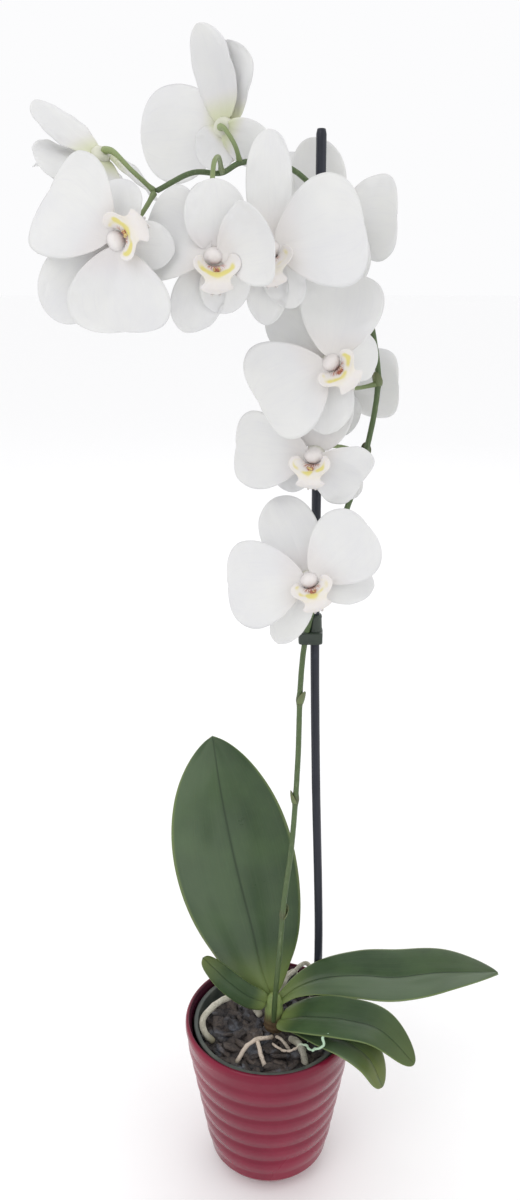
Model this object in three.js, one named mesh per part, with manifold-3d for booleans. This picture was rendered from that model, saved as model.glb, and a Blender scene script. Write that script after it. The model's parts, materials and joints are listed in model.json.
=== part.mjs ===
// A potted moth orchid: one arching flower stem with ten white blooms, five fleshy leaves and
// aerial roots, growing in bark in a plastic grow pot that stands in a ribbed ceramic pot.
// Millimetres, +Z up. The origin is the centre of the pot's underside, and +X is the side
// that the flower stem first leans to before it arches over towards -X.

import * as THREE from "three";
import { mergeVertices } from "three/addons/utils/BufferGeometryUtils.js";
import Module from "manifold-3d";

const wasm = await Module();
wasm.setup();

// ---- driving dimensions ----

const gap = 0.3; // left between pieces that touch
const sliver = 0.02; // the smallest detail that is kept

const pot = {
  height: 132,
  rimRadius: 65,
  collarRadius: 63.4,
  collarHeight: 16, // of the smooth band above the ribs
  footRadius: 33,
  footHeight: 15, // of the tapered foot
  bellyRadius: 46.4, // at the top of the foot
  ribStart: 22.6, // the height of the lowest groove
  ribs: 6,
  ribBulge: 1.3,
  floor: 6,
  wall: 4.5,
};
const growPot = { rimRadius: 58.5, baseRadius: 33, top: 127.5, wall: 1.2, lip: 2.2 };
const bark = { top: 119, edge: 114, chips: 18, chipLength: 17, spread: 42, seed: 11 };
const crown = { x: 4, y: 0, radius: 6.6, foot: 104, top: 151 };
const stake = { radius: 2.9, sides: 8 };
const stem = { radius: 2, sides: 6, steps: 46 };
const stalk = { radius: 1.35, sides: 5, steps: 5 }; // the stalk of one flower
const petalThickness = 0.9;
const lipThickness = 1.1;

const colours = {
  ceramic: new THREE.MeshStandardMaterial({ color: 0x93354c, roughness: 0.22, metalness: 0 }),
  plastic: new THREE.MeshStandardMaterial({ color: 0x6f7276, roughness: 0.5, metalness: 0 }),
  bark: new THREE.MeshStandardMaterial({ color: 0x3a2b26, roughness: 0.95, metalness: 0 }),
  leaf: new THREE.MeshStandardMaterial({ color: 0x4a6144, roughness: 0.38, metalness: 0 }),
  stem: new THREE.MeshStandardMaterial({ color: 0x5f7c4c, roughness: 0.5, metalness: 0 }),
  root: new THREE.MeshStandardMaterial({ color: 0xb9b29c, roughness: 0.8, metalness: 0 }),
  stake: new THREE.MeshStandardMaterial({ color: 0x1c2030, roughness: 0.45, metalness: 0 }),
  clip: new THREE.MeshStandardMaterial({ color: 0x1d2a22, roughness: 0.4, metalness: 0 }),
  petal: new THREE.MeshStandardMaterial({ color: 0xefeff0, roughness: 0.55, metalness: 0 }),
  lip: new THREE.MeshStandardMaterial({ color: 0xe3c65a, roughness: 0.5, metalness: 0 }),
};

// ---- solids ----

const radians = THREE.MathUtils.degToRad;

// The closed solid of a geometry, turned right side out if its faces point inwards.
function solid(geometry) {
  const bare = geometry.clone();
  bare.deleteAttribute("normal");
  bare.deleteAttribute("uv");
  const merged = mergeVertices(bare, 1e-4);
  const made = new wasm.Manifold(
    new wasm.Mesh({
      numProp: 3,
      vertProperties: new Float32Array(merged.attributes.position.array),
      triVerts: new Uint32Array(merged.index.array),
    }),
  );
  if (made.volume() > 0) return made;
  const corners = merged.index.array;
  for (let i = 0; i < corners.length; i += 3) {
    [corners[i + 1], corners[i + 2]] = [corners[i + 2], corners[i + 1]];
  }
  return solid(merged);
}

// The mesh of a body, without the slivers thinner than a hair that joins and cuts leave.
function geometryOf(body) {
  const mesh = body.asOriginal().simplify(sliver).getMesh();
  const geometry = new THREE.BufferGeometry();
  geometry.setAttribute("position", new THREE.BufferAttribute(mesh.vertProperties, 3));
  geometry.setIndex(new THREE.BufferAttribute(mesh.triVerts, 1));
  return geometry;
}

function join(bodies) {
  return bodies.reduce((whole, body) => whole.add(body));
}

// A body without the small loose scraps that a cut can leave.
function largest(body) {
  const pieces = body.decompose();
  return pieces.reduce((best, piece) => (piece.volume() > best.volume() ? piece : best));
}

// A round rod of constant thickness along a smooth path through points.
function rod(points, radius, sides, steps) {
  const ring = new THREE.Shape();
  for (let i = 0; i < sides; i++) {
    const angle = (i / sides) * 2 * Math.PI;
    const corner = [radius * Math.cos(angle), radius * Math.sin(angle)];
    if (i === 0) ring.moveTo(...corner);
    else ring.lineTo(...corner);
  }
  const path = new THREE.CatmullRomCurve3(points.map((p) => new THREE.Vector3(...p)));
  return solid(new THREE.ExtrudeGeometry(ring, { steps, bevelEnabled: false, extrudePath: path }));
}

// A turned body about +Z from [radius, height] points that start and end on the axis.
function turned(profile, sides) {
  const points = profile.map(([radius, height]) => new THREE.Vector2(radius, height));
  return solid(new THREE.LatheGeometry(points, sides).rotateX(Math.PI / 2));
}

// A closed blade of even thickness on both sides of a surface, given at u, v from 0 to 1.
// Both faces are split into triangles alike, so they never cross.
function blade(surface, rows, columns, thicknessAt) {
  const at = (i, j) => surface(i / rows, j / columns);
  const step = 0.02;
  const faces = [[], []];
  for (let i = 0; i <= rows; i++) {
    for (let j = 0; j <= columns; j++) {
      const [u, v] = [i / rows, j / columns];
      const along = surface(Math.min(u + step, 1), v).sub(surface(Math.max(u - step, 0), v));
      const across = surface(u, Math.min(v + step, 1)).sub(surface(u, Math.max(v - step, 0)));
      const normal = along.cross(across).normalize();
      const half = thicknessAt(u, v) / 2;
      faces[0].push(at(i, j).addScaledVector(normal, half));
      faces[1].push(at(i, j).addScaledVector(normal, -half));
    }
  }
  const width = columns + 1;
  const count = (rows + 1) * width;
  const corners = [];
  const square = (a, b, c, d) => corners.push(a, b, c, a, c, d);
  for (let i = 0; i < rows; i++) {
    for (let j = 0; j < columns; j++) {
      const a = i * width + j;
      const [b, c, d] = [a + width, a + width + 1, a + 1];
      square(a, b, c, d);
      corners.push(count + a, count + c, count + b, count + a, count + d, count + c);
    }
  }
  const rim = [];
  for (let i = 0; i < rows; i++) rim.push(i * width);
  for (let j = 0; j < columns; j++) rim.push(rows * width + j);
  for (let i = rows; i > 0; i--) rim.push(i * width + columns);
  for (let j = columns; j > 0; j--) rim.push(j);
  rim.forEach((a, k) => {
    const b = rim[(k + 1) % rim.length];
    square(a, count + a, count + b, b);
  });
  const places = new Float32Array([...faces[0], ...faces[1]].flatMap((p) => [p.x, p.y, p.z]));
  const geometry = new THREE.BufferGeometry();
  geometry.setAttribute("position", new THREE.BufferAttribute(places, 3));
  geometry.setIndex(corners);
  return solid(geometry);
}

// Half the width of a leaf or petal, from 0 at its foot to 1 at its widest and back to its tip.
// A large swell makes a narrow foot, and a small point makes a round tip.
function outline(s, swell, point) {
  const widest = swell / (swell + point);
  const most = widest ** swell * (1 - widest) ** point;
  return (s ** swell * (1 - s) ** point) / most;
}

// ---- blooms ----

// The five petals and sepals in the flower's own frame, which looks along +Z with +Y up.
// turn is the direction of the piece, lean its tilt towards the viewer, and bend and cup
// its curl along and across, in degrees. rise lifts petals in front of the sepals.
const petalShape = {
  length: 51, half: 30.5, swell: 0.8, point: 0.42, bend: -14, cup: 10, wave: 1.6, lean: 4, rise: 1.6,
  rows: 6, columns: 3,
};
const sepalShape = {
  length: 49, half: 16.5, swell: 0.66, point: 0.62, bend: -12, cup: 12, wave: 0.5, lean: -4, rise: 0,
  rows: 5, columns: 2,
};
const dorsalShape = {
  length: 49, half: 17.5, swell: 0.62, point: 0.52, bend: -10, cup: 14, wave: 0.6, lean: -2, rise: 0,
  rows: 5, columns: 2,
};
const tepals = {
  dorsal: { ...dorsalShape, turn: 90 },
  leftPetal: { ...petalShape, turn: 166 },
  rightPetal: { ...petalShape, turn: 14 },
  leftSepal: { ...sepalShape, turn: 232 },
  rightSepal: { ...sepalShape, turn: 308 },
};
const lipFoot = [-6.3, 1.5]; // below and in front of the flower's centre
const tepalFoot = 3; // from the flower's centre to a tepal's foot, and half the foot's width
const columnTurn = 7; // degrees, which keep the column's edges off the petals' ribs

// Each bloom's seat, the way it faces and what sets it apart. yaw turns it towards -X, pitch
// raises its face, roll turns it anticlockwise as seen from in front. stalk lists the points
// of its stalk from the flower stem towards the back of the bloom.
const blooms = [
  {
    seat: [24, -32, 496], yaw: 0, pitch: 12, roll: 17, size: 0.99,
    dorsal: { turn: 95, length: 57, half: 19, lean: -10 },
    leftPetal: { turn: 168, length: 50.5, half: 29 },
    rightPetal: { turn: 16, length: 45.5, half: 32, point: 0.3 },
    leftSepal: { turn: 229, length: 49, half: 12, lean: -8 },
    rightSepal: { turn: 333, length: 36 },
    stalk: [[36, 18.5, 482], [33, 8, 493], [27, -10, 499]],
  },
  {
    seat: [27, -18, 573], yaw: 18, pitch: 2, roll: 2, size: 0.97,
    dorsal: { lean: -6 },
    leftPetal: { turn: 176, length: 54, half: 26 },
    rightPetal: { turn: -27, length: 41, half: 19, lean: -14 },
    leftSepal: { turn: 206, length: 36, lean: -5 },
    rightSepal: { turn: 307, length: 42, half: 14.5, lean: -8 },
    stalk: [[62.6, 20, 566], [50, 20, 571], [36, 8, 574]],
  },
  {
    seat: [35, -34, 631], yaw: 4, pitch: 2, roll: 48, size: 0.96,
    leftPetal: { turn: 161, length: 50, half: 32 },
    rightPetal: { turn: 33, half: 26 },
    leftSepal: { turn: 218, length: 44, lean: 0 },
    rightSepal: { turn: 320, length: 46, half: 15, lean: -40 },
    stalk: [[69.3, 18, 613], [57, 12, 611], [44, -6, 614]],
  },
  {
    seat: [40, 58, 606], yaw: 200, pitch: 0, roll: 8, size: 0.95,
    leftPetal: { half: 25 },
    leftSepal: { turn: 234, length: 34, lean: 0 },
    stalk: [[68.4, 15.6, 630], [62, 30, 626], [48, 44, 614]],
  },
  {
    seat: [-1, -52, 694], yaw: 8, pitch: 0, roll: 5, size: 0.98,
    dorsal: { turn: 88, length: 63, half: 13 },
    rightPetal: { turn: 9, length: 52, half: 31 },
    leftSepal: { turn: 258, length: 42, half: 12 },
    rightSepal: { turn: 288, length: 34, half: 12, lean: -6 },
    stalk: [[47, 6, 691], [30, -10, 698], [10, -32, 702]],
  },
  {
    seat: [38, 45, 714], yaw: 200, pitch: 0, roll: 8, size: 0.95,
    dorsal: { turn: 68 },
    leftPetal: { turn: 172, length: 45, half: 28 },
    stalk: [[34, 3, 718], [41, 14, 722], [41, 30, 718]],
  },
  {
    seat: [-32, -72, 690], yaw: -12, pitch: 0, roll: 0, size: 0.86,
    dorsal: { length: 42, half: 19, lean: 20 },
    leftPetal: { turn: 156, length: 46, lean: -14 },
    rightPetal: { turn: 18, length: 44, half: 26, lean: 30, bend: 18 },
    leftSepal: { turn: 250, length: 50, lean: -6 },
    rightSepal: { turn: 292, length: 36 },
    lipSize: 0.96,
    stalk: [[-29, -14, 736], [-30, -38, 742], [-32, -56, 736], [-33, -65, 714]],
  },
  {
    seat: [-82, -84, 697], yaw: 5, pitch: 0, roll: 117, size: 0.93,
    dorsal: { turn: 103, length: 61, half: 20 },
    leftPetal: { turn: 154, length: 48 },
    rightPetal: { turn: 28, length: 45, half: 31 },
    leftSepal: { turn: 235, length: 30, half: 13, lean: -4 },
    rightSepal: { turn: 338, length: 40, half: 15, lean: -25 },
    stalk: [[-65.5, -40, 724], [-71, -48, 714], [-79, -66, 701]],
  },
  {
    seat: [-28, 11, 763], yaw: 220, pitch: 0, roll: -8, size: 0.95,
    dorsal: { length: 56, half: 16 },
    leftPetal: { turn: 104, length: 46, half: 15.5, rise: 4 },
    rightPetal: { turn: 8, length: 66 },
    leftSepal: { turn: 218, length: 38, half: 13, lean: 14, bend: 6, rise: -2.5 },
    rightSepal: { turn: 318, length: 24, lean: 0 },
    lipSize: 0.85,
    stalk: [[-18.6, -8, 741.8], [-21, -9, 750], [-27, -3, 760]],
  },
  {
    seat: [-98, -20, 744], yaw: 135, pitch: -50, roll: -28, size: 0.95,
    dorsal: { length: 47, bend: 0 },
    leftPetal: { turn: 130, length: 36, lean: 40, bend: 0 },
    rightPetal: { turn: 50, length: 36, half: 20, lean: 10, bend: 0 },
    leftSepal: { turn: 224, half: 12, lean: 12, bend: 14, rise: -2.5 },
    rightSepal: { turn: 316, half: 12, lean: 12, bend: 14, rise: -2.5 },
    lipSize: 0.7,
    stalk: [[-65.5, -40, 724], [-78, -38, 735], [-90, -28, 746]],
  },
];

// The turn and place of a bloom's own frame in the plant.
function bloomFrame({ seat, yaw, pitch, roll }) {
  const [y, p, r] = [yaw, pitch, roll].map(radians);
  const ahead = new THREE.Vector3(-Math.sin(y) * Math.cos(p), -Math.cos(y) * Math.cos(p), Math.sin(p));
  const level = new THREE.Vector3(Math.cos(y), -Math.sin(y), 0);
  const upright = ahead.clone().cross(level);
  const right = level.clone().multiplyScalar(Math.cos(r)).addScaledVector(upright, Math.sin(r));
  const up = upright.clone().multiplyScalar(Math.cos(r)).addScaledVector(level, -Math.sin(r));
  return new THREE.Matrix4().makeBasis(right, up, ahead).setPosition(...seat);
}

// One petal or sepal in the flower's own frame. phase shifts the waves of its edge.
function tepal(shape, size, phase) {
  const length = shape.length * size;
  const half = shape.half * size;
  const bend = radians(2 * shape.bend) + 1e-6; // never quite flat, because it divides below
  const cup = radians(2 * shape.cup);
  const lastRow = 0.992; // the tip is cut off just short of its point
  const surface = (u, v) => {
    const s = u < 1 ? 1 - (1 - u) ** 1.5 : lastRow;
    const t = 2 * v - 1;
    const wide = half * outline(s, shape.swell, shape.point) + tepalFoot * size * (1 - s) ** 3;
    const angle = bend * s;
    const ruffle = Math.sin(9 * s + phase + (t > 0 ? 1.9 : 0)) * Math.abs(t) ** 2.5;
    const lift = (wide * (1 - Math.cos(cup * t))) / cup
      + shape.wave * size * ruffle * Math.min(1, (1.2 * wide) / half);
    const out = (length * Math.sin(angle)) / bend - Math.sin(angle) * lift + tepalFoot * size;
    const side = (wide * Math.sin(cup * t)) / cup;
    const high = (length * (1 - Math.cos(angle))) / bend + Math.cos(angle) * lift;
    const point = new THREE.Vector3(out, side, high);
    point.applyAxisAngle(new THREE.Vector3(0, 1, 0), -radians(shape.lean));
    point.z += shape.rise * size;
    return point.applyAxisAngle(new THREE.Vector3(0, 0, 1), radians(shape.turn));
  };
  return blade(surface, shape.rows, shape.columns, () => petalThickness);
}

// The column at the heart of the flower, with the seat that its petals grow from.
function column(size) {
  const profile = [[0, -4.5], [4.6, -2.5], [4.9, 2], [2.8, 5], [3.2, 11], [0, 13]];
  const body = turned(profile.map(([radius, height]) => [radius * size, height * size]), 6);
  return body.rotate([0, 0, columnTurn]);
}

function bloomSolid(bloom, index) {
  const petals = Object.entries(tepals).map(([name, shape], order) => {
    return tepal({ ...shape, ...bloom[name] }, bloom.size, 1.3 * index + 1.7 * order);
  });
  return join([column(bloom.size), ...petals]);
}

// The lip: two side lobes that rise beside the column, a waist and a middle lobe.
function lipSolid(bloom) {
  const size = bloom.size * (bloom.lipSize ?? 1);
  const middle = new THREE.CatmullRomCurve3(
    [[0, 0], [-1, 4.5], [-3.2, 8.5], [-7, 11], [-11.5, 10], [-14.5, 6.5]].map(
      ([y, z]) => new THREE.Vector3(0, lipFoot[0] + y * size, lipFoot[1] + z * size),
    ),
  );
  const surface = (u, v) => {
    const t = 2 * v - 1;
    const sideLobe = Math.exp(-(((u - 0.3) / 0.14) ** 2));
    const middleLobe = Math.exp(-(((u - 0.8) / 0.13) ** 2));
    const half = size * (2.4 + 12 * sideLobe + 5 * middleLobe);
    const curl = radians(20 + 62 * sideLobe - 45 * middleLobe);
    const along = middle.getTangentAt(u);
    const inner = new THREE.Vector3(0, -along.z, along.y);
    const side = (half * Math.sin(curl * t)) / curl;
    const lift = (half * (1 - Math.cos(curl * t))) / curl;
    const point = middle.getPointAt(u).addScaledVector(inner, -lift);
    point.x += side;
    return point;
  };
  return blade(surface, 7, 4, () => lipThickness);
}

// ---- flower stem ----

const stemPath = [
  [3.5, -5.5, 128], [4.5, -6, 151], [7.8, -6, 194], [11, -4, 239], [16.2, -1, 283], [20.2, 6, 349],
  [21.8, 14, 407], [25.2, 21, 437], [36, 18.5, 482], [50, 20, 525], [62.6, 20, 566], [69.3, 18, 613],
  [65.5, 14, 640], [54, 8, 680], [47, 6, 691], [34, 3, 718], [14, 0, 738], [-3, -4, 743],
  [-18.6, -8, 741.8], [-29, -14, 736], [-45, -27, 735], [-65.5, -40, 724],
];
const nodeHeights = [226, 318, 392, 566, 613, 691]; // the stem's joints, by height
const stalkEnd = 6; // behind the bloom's centre

// A short swollen joint with its bract, as a spindle about a point of the stem.
function stemJoint(place, direction) {
  const spindle = new THREE.LatheGeometry(
    [[0, -7], [2.8, -2], [2.8, 3], [0, 7]].map(([r, h]) => new THREE.Vector2(r, h)),
    5,
  );
  const turn = new THREE.Quaternion().setFromUnitVectors(new THREE.Vector3(0, 1, 0), direction);
  return solid(spindle.applyQuaternion(turn).translate(place.x, place.y, place.z));
}

function flowerStem() {
  const curve = new THREE.CatmullRomCurve3(stemPath.map((p) => new THREE.Vector3(...p)));
  const bodies = [rod(stemPath, stem.radius, stem.sides, stem.steps)];
  const samples = 400;
  nodeHeights.forEach((height) => {
    let at = 0;
    while (curve.getPointAt(at / samples).z < height) at += 1;
    bodies.push(stemJoint(curve.getPointAt(at / samples), curve.getTangentAt(at / samples)));
  });
  blooms.forEach((bloom) => {
    const back = new THREE.Vector3(0, 0, -stalkEnd * bloom.size).applyMatrix4(bloomFrame(bloom));
    bodies.push(rod([...bloom.stalk, back.toArray()], stalk.radius, stalk.sides, stalk.steps));
  });
  return join(bodies);
}

// ---- leaves ----

// Each leaf's middle rib from foot to tip, the direction across it, and its shape.
// fold raises both halves from the rib, in degrees.
const leaves = [
  {
    name: "leaf_a", half: 47.4, fold: 13, across: [0.98, 0.12, 0.16], swell: 0.76, point: 0.72,
    rib: [
      [2, 6, 143], [-5, 9, 163], [-12, 15, 194], [-24.5, 24, 245], [-35, 30, 300],
      [-42.5, 35, 355.5],
    ],
  },
  {
    name: "leaf_b", half: 8.5, fold: 20, across: [0.5, 0.55, 0.65], swell: 0.5, point: 0.4,
    rib: [[-2, -2, 144], [-15, -6, 153], [-30, -10, 169], [-41, -13, 184], [-49, -15, 195]],
  },
  {
    name: "leaf_c", half: 26, fold: 6, across: [0.05, 0.9, 0.45], acrossTip: [0.05, 1, -0.1], swell: 1.2,
    point: 0.75,
    rib: [
      [8, 2, 143], [22, 5, 153], [40, 6, 160], [70, 3, 165], [97, -2, 168], [136, -5, 175],
      [173, -10, 178],
    ],
  },
  {
    name: "leaf_d", half: 18, fold: 8, across: [0.45, 0.85, 0.22], swell: 0.5, point: 0.5,
    rib: [[9, -8, 134], [30, -23, 149], [56, -35, 156.5], [80, -46, 157], [104, -60, 139]],
  },
  {
    name: "leaf_e", half: 15, fold: 6, across: [0.5, 0.85, 0.1], swell: 1.1, point: 0.5,
    rib: [[9, -7, 129], [24, -20, 137], [40, -33, 142], [58, -45, 144], [72, -54, 138], [81, -63, 121]],
  },
];
const leafThickness = 2.4;
const leafFoot = 5; // half the width of a leaf where it leaves the crown

function leafSolid(leaf) {
  const rib = new THREE.CatmullRomCurve3(leaf.rib.map((p) => new THREE.Vector3(...p)));
  const fold = radians(leaf.fold);
  const tipAcross = new THREE.Vector3(...(leaf.acrossTip ?? leaf.across));
  const surface = (u, v) => {
    const s = Math.min(u, 0.985);
    const t = 2 * v - 1;
    const along = rib.getTangentAt(s);
    const across = new THREE.Vector3(...leaf.across).lerp(tipAcross, s);
    across.addScaledVector(along, -across.dot(along)).normalize();
    const upper = along.clone().cross(across);
    const half = leaf.half * outline(s, leaf.swell, leaf.point) + leafFoot * (1 - s) ** 3;
    return rib
      .getPointAt(s)
      .addScaledVector(across, half * t * Math.cos(fold))
      .addScaledVector(upper, half * Math.abs(t) * Math.sin(fold));
  };
  const thickness = (u, v) => leafThickness * (1 - 0.5 * (2 * v - 1) ** 2);
  return blade(surface, 10, 4, thickness);
}

// ---- crown, roots, stake and clip ----

// The short stem that leaves and roots grow from, grown by extra all round.
function crownSolid(extra) {
  const { radius, foot, top } = crown;
  const profile = [
    [0, foot - extra], [radius + extra, foot - extra], [radius + 1 + extra, 124],
    [radius + extra, 136], [radius - 1 + extra, 145], [2 + extra, top + extra], [0, top + extra],
  ];
  return turned(profile, 10).translate([crown.x, crown.y, 0]);
}

// Each root's paths start inside the crown or on another path and end in the bark.
const roots = [
  {
    name: "root_1", radius: 2.5, steps: 14,
    paths: [[
      [-6, 6, 124], [-17, 14, 133], [-28, 14, 137], [-42, 6, 135], [-51, -4, 131], [-50, -11, 124],
      [-42, -14, 117],
    ]],
  },
  {
    name: "root_2", radius: 1.6, steps: 10,
    paths: [
      [[3, -9, 118], [-1, -17, 124], [-9, -21, 126.5], [-17, -27, 125], [-25, -34, 116]],
      [[-9, -22, 126], [-7, -31, 123.5], [-1, -42, 113]],
    ],
  },
  { name: "root_3", radius: 2.7, steps: 6, paths: [[[16, -14, 121], [23, -25, 125], [28, -34, 113]]] },
  { name: "root_4", radius: 1.2, steps: 8, paths: [[[5, -12, 121], [10, -20, 124.5], [18, -24, 114]]] },
  {
    name: "root_5", radius: 1.1, steps: 14,
    paths: [[[30, -16, 113], [31, -19, 127], [34, -24, 128], [42, -23, 129], [45, -18, 130], [48, -12, 114]]],
  },
  {
    name: "root_6", radius: 1.8, steps: 12,
    paths: [[[6, 8, 124], [12, 26, 139], [22, 38, 143], [31, 43, 145], [36, 39, 134], [34, 33, 112]]],
  },
  {
    name: "root_7", radius: 1.5, steps: 12,
    paths: [[[3, 9, 128], [8, 28, 136], [16, 42, 136], [22, 46, 135], [25, 42, 112]]],
  },
];

function rootSolid(root, extra) {
  return join(root.paths.map((path) => rod(path, root.radius + extra, 6, root.steps)));
}

const stakePath = [
  [37.8, 23.4, 76], [39.1, 25, 181], [34.4, 25.5, 330], [32, 25.5, 432], [31.2, 25, 535], [30.3, 25, 764],
];

function stakeSolid(extra) {
  return rod(stakePath, stake.radius + extra, stake.sides, 12);
}

const clip = { centre: [28.6, 23.4], bottom: 432, shoulder: 441, top: 453, width: 17, depth: 12 };

// A clip that holds the stem to the stake: a block below and a tapering sleeve on the stake.
function clipSolid(stemHole) {
  const height = clip.shoulder - clip.bottom;
  const block = new THREE.BoxGeometry(clip.width, clip.depth, height);
  block.translate(...clip.centre, clip.bottom + height / 2);
  const sleeve = turned(
    [[0, clip.bottom + 2], [5.6, clip.bottom + 2], [5.4, clip.shoulder], [4.2, clip.top], [0, clip.top]],
    10,
  ).translate([31.9, 25.5, 0]);
  return largest(solid(block).add(sleeve).subtract(stakeSolid(gap)).subtract(stemHole));
}

// ---- pots and bark ----

function potProfile() {
  const { height, rimRadius, collarRadius, footRadius, footHeight, bellyRadius, ribStart } = pot;
  const shoulder = height - pot.collarHeight;
  const pitch = (shoulder - ribStart) / pot.ribs;
  const flare = (collarRadius - bellyRadius) / (shoulder - footHeight);
  const outside = [[0, 0]];
  for (const part of [0, 0.33, 0.67, 1]) {
    const run = bellyRadius - footRadius;
    outside.push([footRadius + run * part, footHeight * part * (0.75 + 0.25 * part)]);
  }
  for (let rib = 0; rib < pot.ribs; rib++) {
    for (const part of [0, 0.3, 0.7]) {
      const up = ribStart + (rib + part) * pitch;
      const bulge = part > 0 ? pot.ribBulge : 0;
      outside.push([bellyRadius + flare * (up - footHeight) + bulge, up]);
    }
  }
  const inner = rimRadius - pot.wall;
  return [
    ...outside,
    [collarRadius, shoulder], [collarRadius + 0.8, shoulder + 4], [rimRadius, height - 4],
    [rimRadius - 0.8, height - 0.8], [rimRadius - 2.4, height], [inner, height - 2],
    [collarRadius - pot.wall, shoulder], [footRadius + 5.5, pot.floor + 4], [footRadius + 2, pot.floor],
    [0, pot.floor],
  ];
}

function growPotSolid() {
  const { rimRadius, baseRadius, top, wall, lip } = growPot;
  const base = pot.floor + gap;
  const body = rimRadius - lip;
  return turned(
    [
      [0, base], [baseRadius, base], [baseRadius + 3, base + 5], [body - 1.5, top - 22],
      [body, top - 3], [rimRadius, top - 3], [rimRadius, top], [body - wall, top],
      [body - 1.5 - wall, top - 22], [baseRadius + 3 - wall, base + 5], [baseRadius - wall, base + wall],
      [0, base + wall],
    ],
    20,
  );
}

// A repeatable draw of numbers from 0 to 1.
function draws(seed) {
  let state = seed;
  return () => {
    state = (state * 16807) % 2147483647;
    return state / 2147483647;
  };
}

function barkSolid(holes) {
  const { rimRadius, baseRadius, wall, lip } = growPot;
  const inside = rimRadius - lip - wall - gap;
  const base = pot.floor + growPot.wall + 2 * gap;
  const bed = turned(
    [
      [0, base], [baseRadius - wall - 2 * gap, base], [inside - 3, bark.edge - 10],
      [inside - 1.9, bark.edge], [30, bark.top - 1], [0, bark.top],
    ],
    24,
  );
  const draw = draws(bark.seed);
  const between = (low, high) => low + (high - low) * draw();
  const goldenAngle = Math.PI * (3 - Math.sqrt(5)); // spreads the chips evenly
  const bodies = [bed];
  for (let i = 0; i < bark.chips; i++) {
    const reach = bark.spread * Math.sqrt((i + 0.6) / bark.chips);
    const length = bark.chipLength * between(0.7, 1.3);
    const chip = new THREE.BoxGeometry(length, length * between(0.4, 0.65), between(3.5, 6.5));
    chip.rotateX(between(-0.45, 0.45)).rotateY(between(-0.35, 0.35)).rotateZ(between(0, 2 * Math.PI));
    const sunk = 0.5 + (bark.top - bark.edge - 1.5) * (reach / bark.spread) ** 2;
    const angle = i * goldenAngle;
    chip.translate(reach * Math.cos(angle), reach * Math.sin(angle), bark.top - sunk + between(0, 1.5));
    bodies.push(solid(chip));
  }
  return largest(holes.reduce((body, hole) => body.subtract(hole), join(bodies)));
}

// ---- the plant ----

const group = new THREE.Group();

function place(name, body, material, parent = group) {
  const mesh = new THREE.Mesh(geometryOf(body), material);
  mesh.name = name;
  parent.add(mesh);
}

const stemHole = rod(stemPath, stem.radius + gap, stem.sides, stem.steps);
const stakeHole = stakeSolid(gap);
const crownHole = crownSolid(gap);

place("pot", turned(potProfile(), 32), colours.ceramic);
place("grow_pot", growPotSolid(), colours.plastic);
place("crown", crownSolid(0).subtract(stemHole), colours.stem);
place("flower_stem", flowerStem(), colours.stem);
place("stake", stakeSolid(0), colours.stake);
place("clip", clipSolid(stemHole), colours.clip);

const rootHoles = roots.map((root) => rootSolid(root, gap));
place("bark", barkSolid([crownHole, stakeHole, ...rootHoles]), colours.bark);
roots.forEach((root) => {
  place(root.name, largest(rootSolid(root, 0).subtract(crownHole)), colours.root);
});
leaves.forEach((leaf) => {
  place(leaf.name, largest(leafSolid(leaf).subtract(crownHole).subtract(stemHole)), colours.leaf);
});
blooms.forEach((bloom, index) => {
  const flower = new THREE.Group();
  flower.applyMatrix4(bloomFrame(bloom));
  group.add(flower);
  place(`bloom_${index + 1}`, bloomSolid(bloom, index), colours.petal, flower);
  place(`lip_${index + 1}`, lipSolid(bloom), colours.lip, flower);
});

export default group;
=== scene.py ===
import json
import math
import random

import bpy
from mathutils import Matrix, Vector, noise

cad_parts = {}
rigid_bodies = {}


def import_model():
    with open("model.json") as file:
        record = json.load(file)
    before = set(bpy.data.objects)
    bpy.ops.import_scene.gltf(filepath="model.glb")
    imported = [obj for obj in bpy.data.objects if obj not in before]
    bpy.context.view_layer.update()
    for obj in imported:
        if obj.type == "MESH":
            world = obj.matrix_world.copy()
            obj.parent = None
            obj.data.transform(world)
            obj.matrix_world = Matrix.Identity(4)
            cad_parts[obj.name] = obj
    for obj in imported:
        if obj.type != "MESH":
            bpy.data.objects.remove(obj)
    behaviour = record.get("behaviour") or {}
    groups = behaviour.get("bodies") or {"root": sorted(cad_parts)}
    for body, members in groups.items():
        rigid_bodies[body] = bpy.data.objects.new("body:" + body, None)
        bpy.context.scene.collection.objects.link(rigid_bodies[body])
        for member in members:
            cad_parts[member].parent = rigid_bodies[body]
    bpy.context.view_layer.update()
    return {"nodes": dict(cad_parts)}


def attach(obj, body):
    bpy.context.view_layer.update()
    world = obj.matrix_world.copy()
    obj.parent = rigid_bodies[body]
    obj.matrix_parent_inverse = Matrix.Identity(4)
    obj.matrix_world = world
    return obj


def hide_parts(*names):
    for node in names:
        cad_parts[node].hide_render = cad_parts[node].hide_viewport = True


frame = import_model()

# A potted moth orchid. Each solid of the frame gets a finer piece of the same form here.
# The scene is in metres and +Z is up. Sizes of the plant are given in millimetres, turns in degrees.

mm = 0.001
scene = bpy.context.scene
noise.seed_set(4)  # the roots sway by a draw from this seed
print("frame loaded:", len(frame["nodes"]), "nodes")


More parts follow.
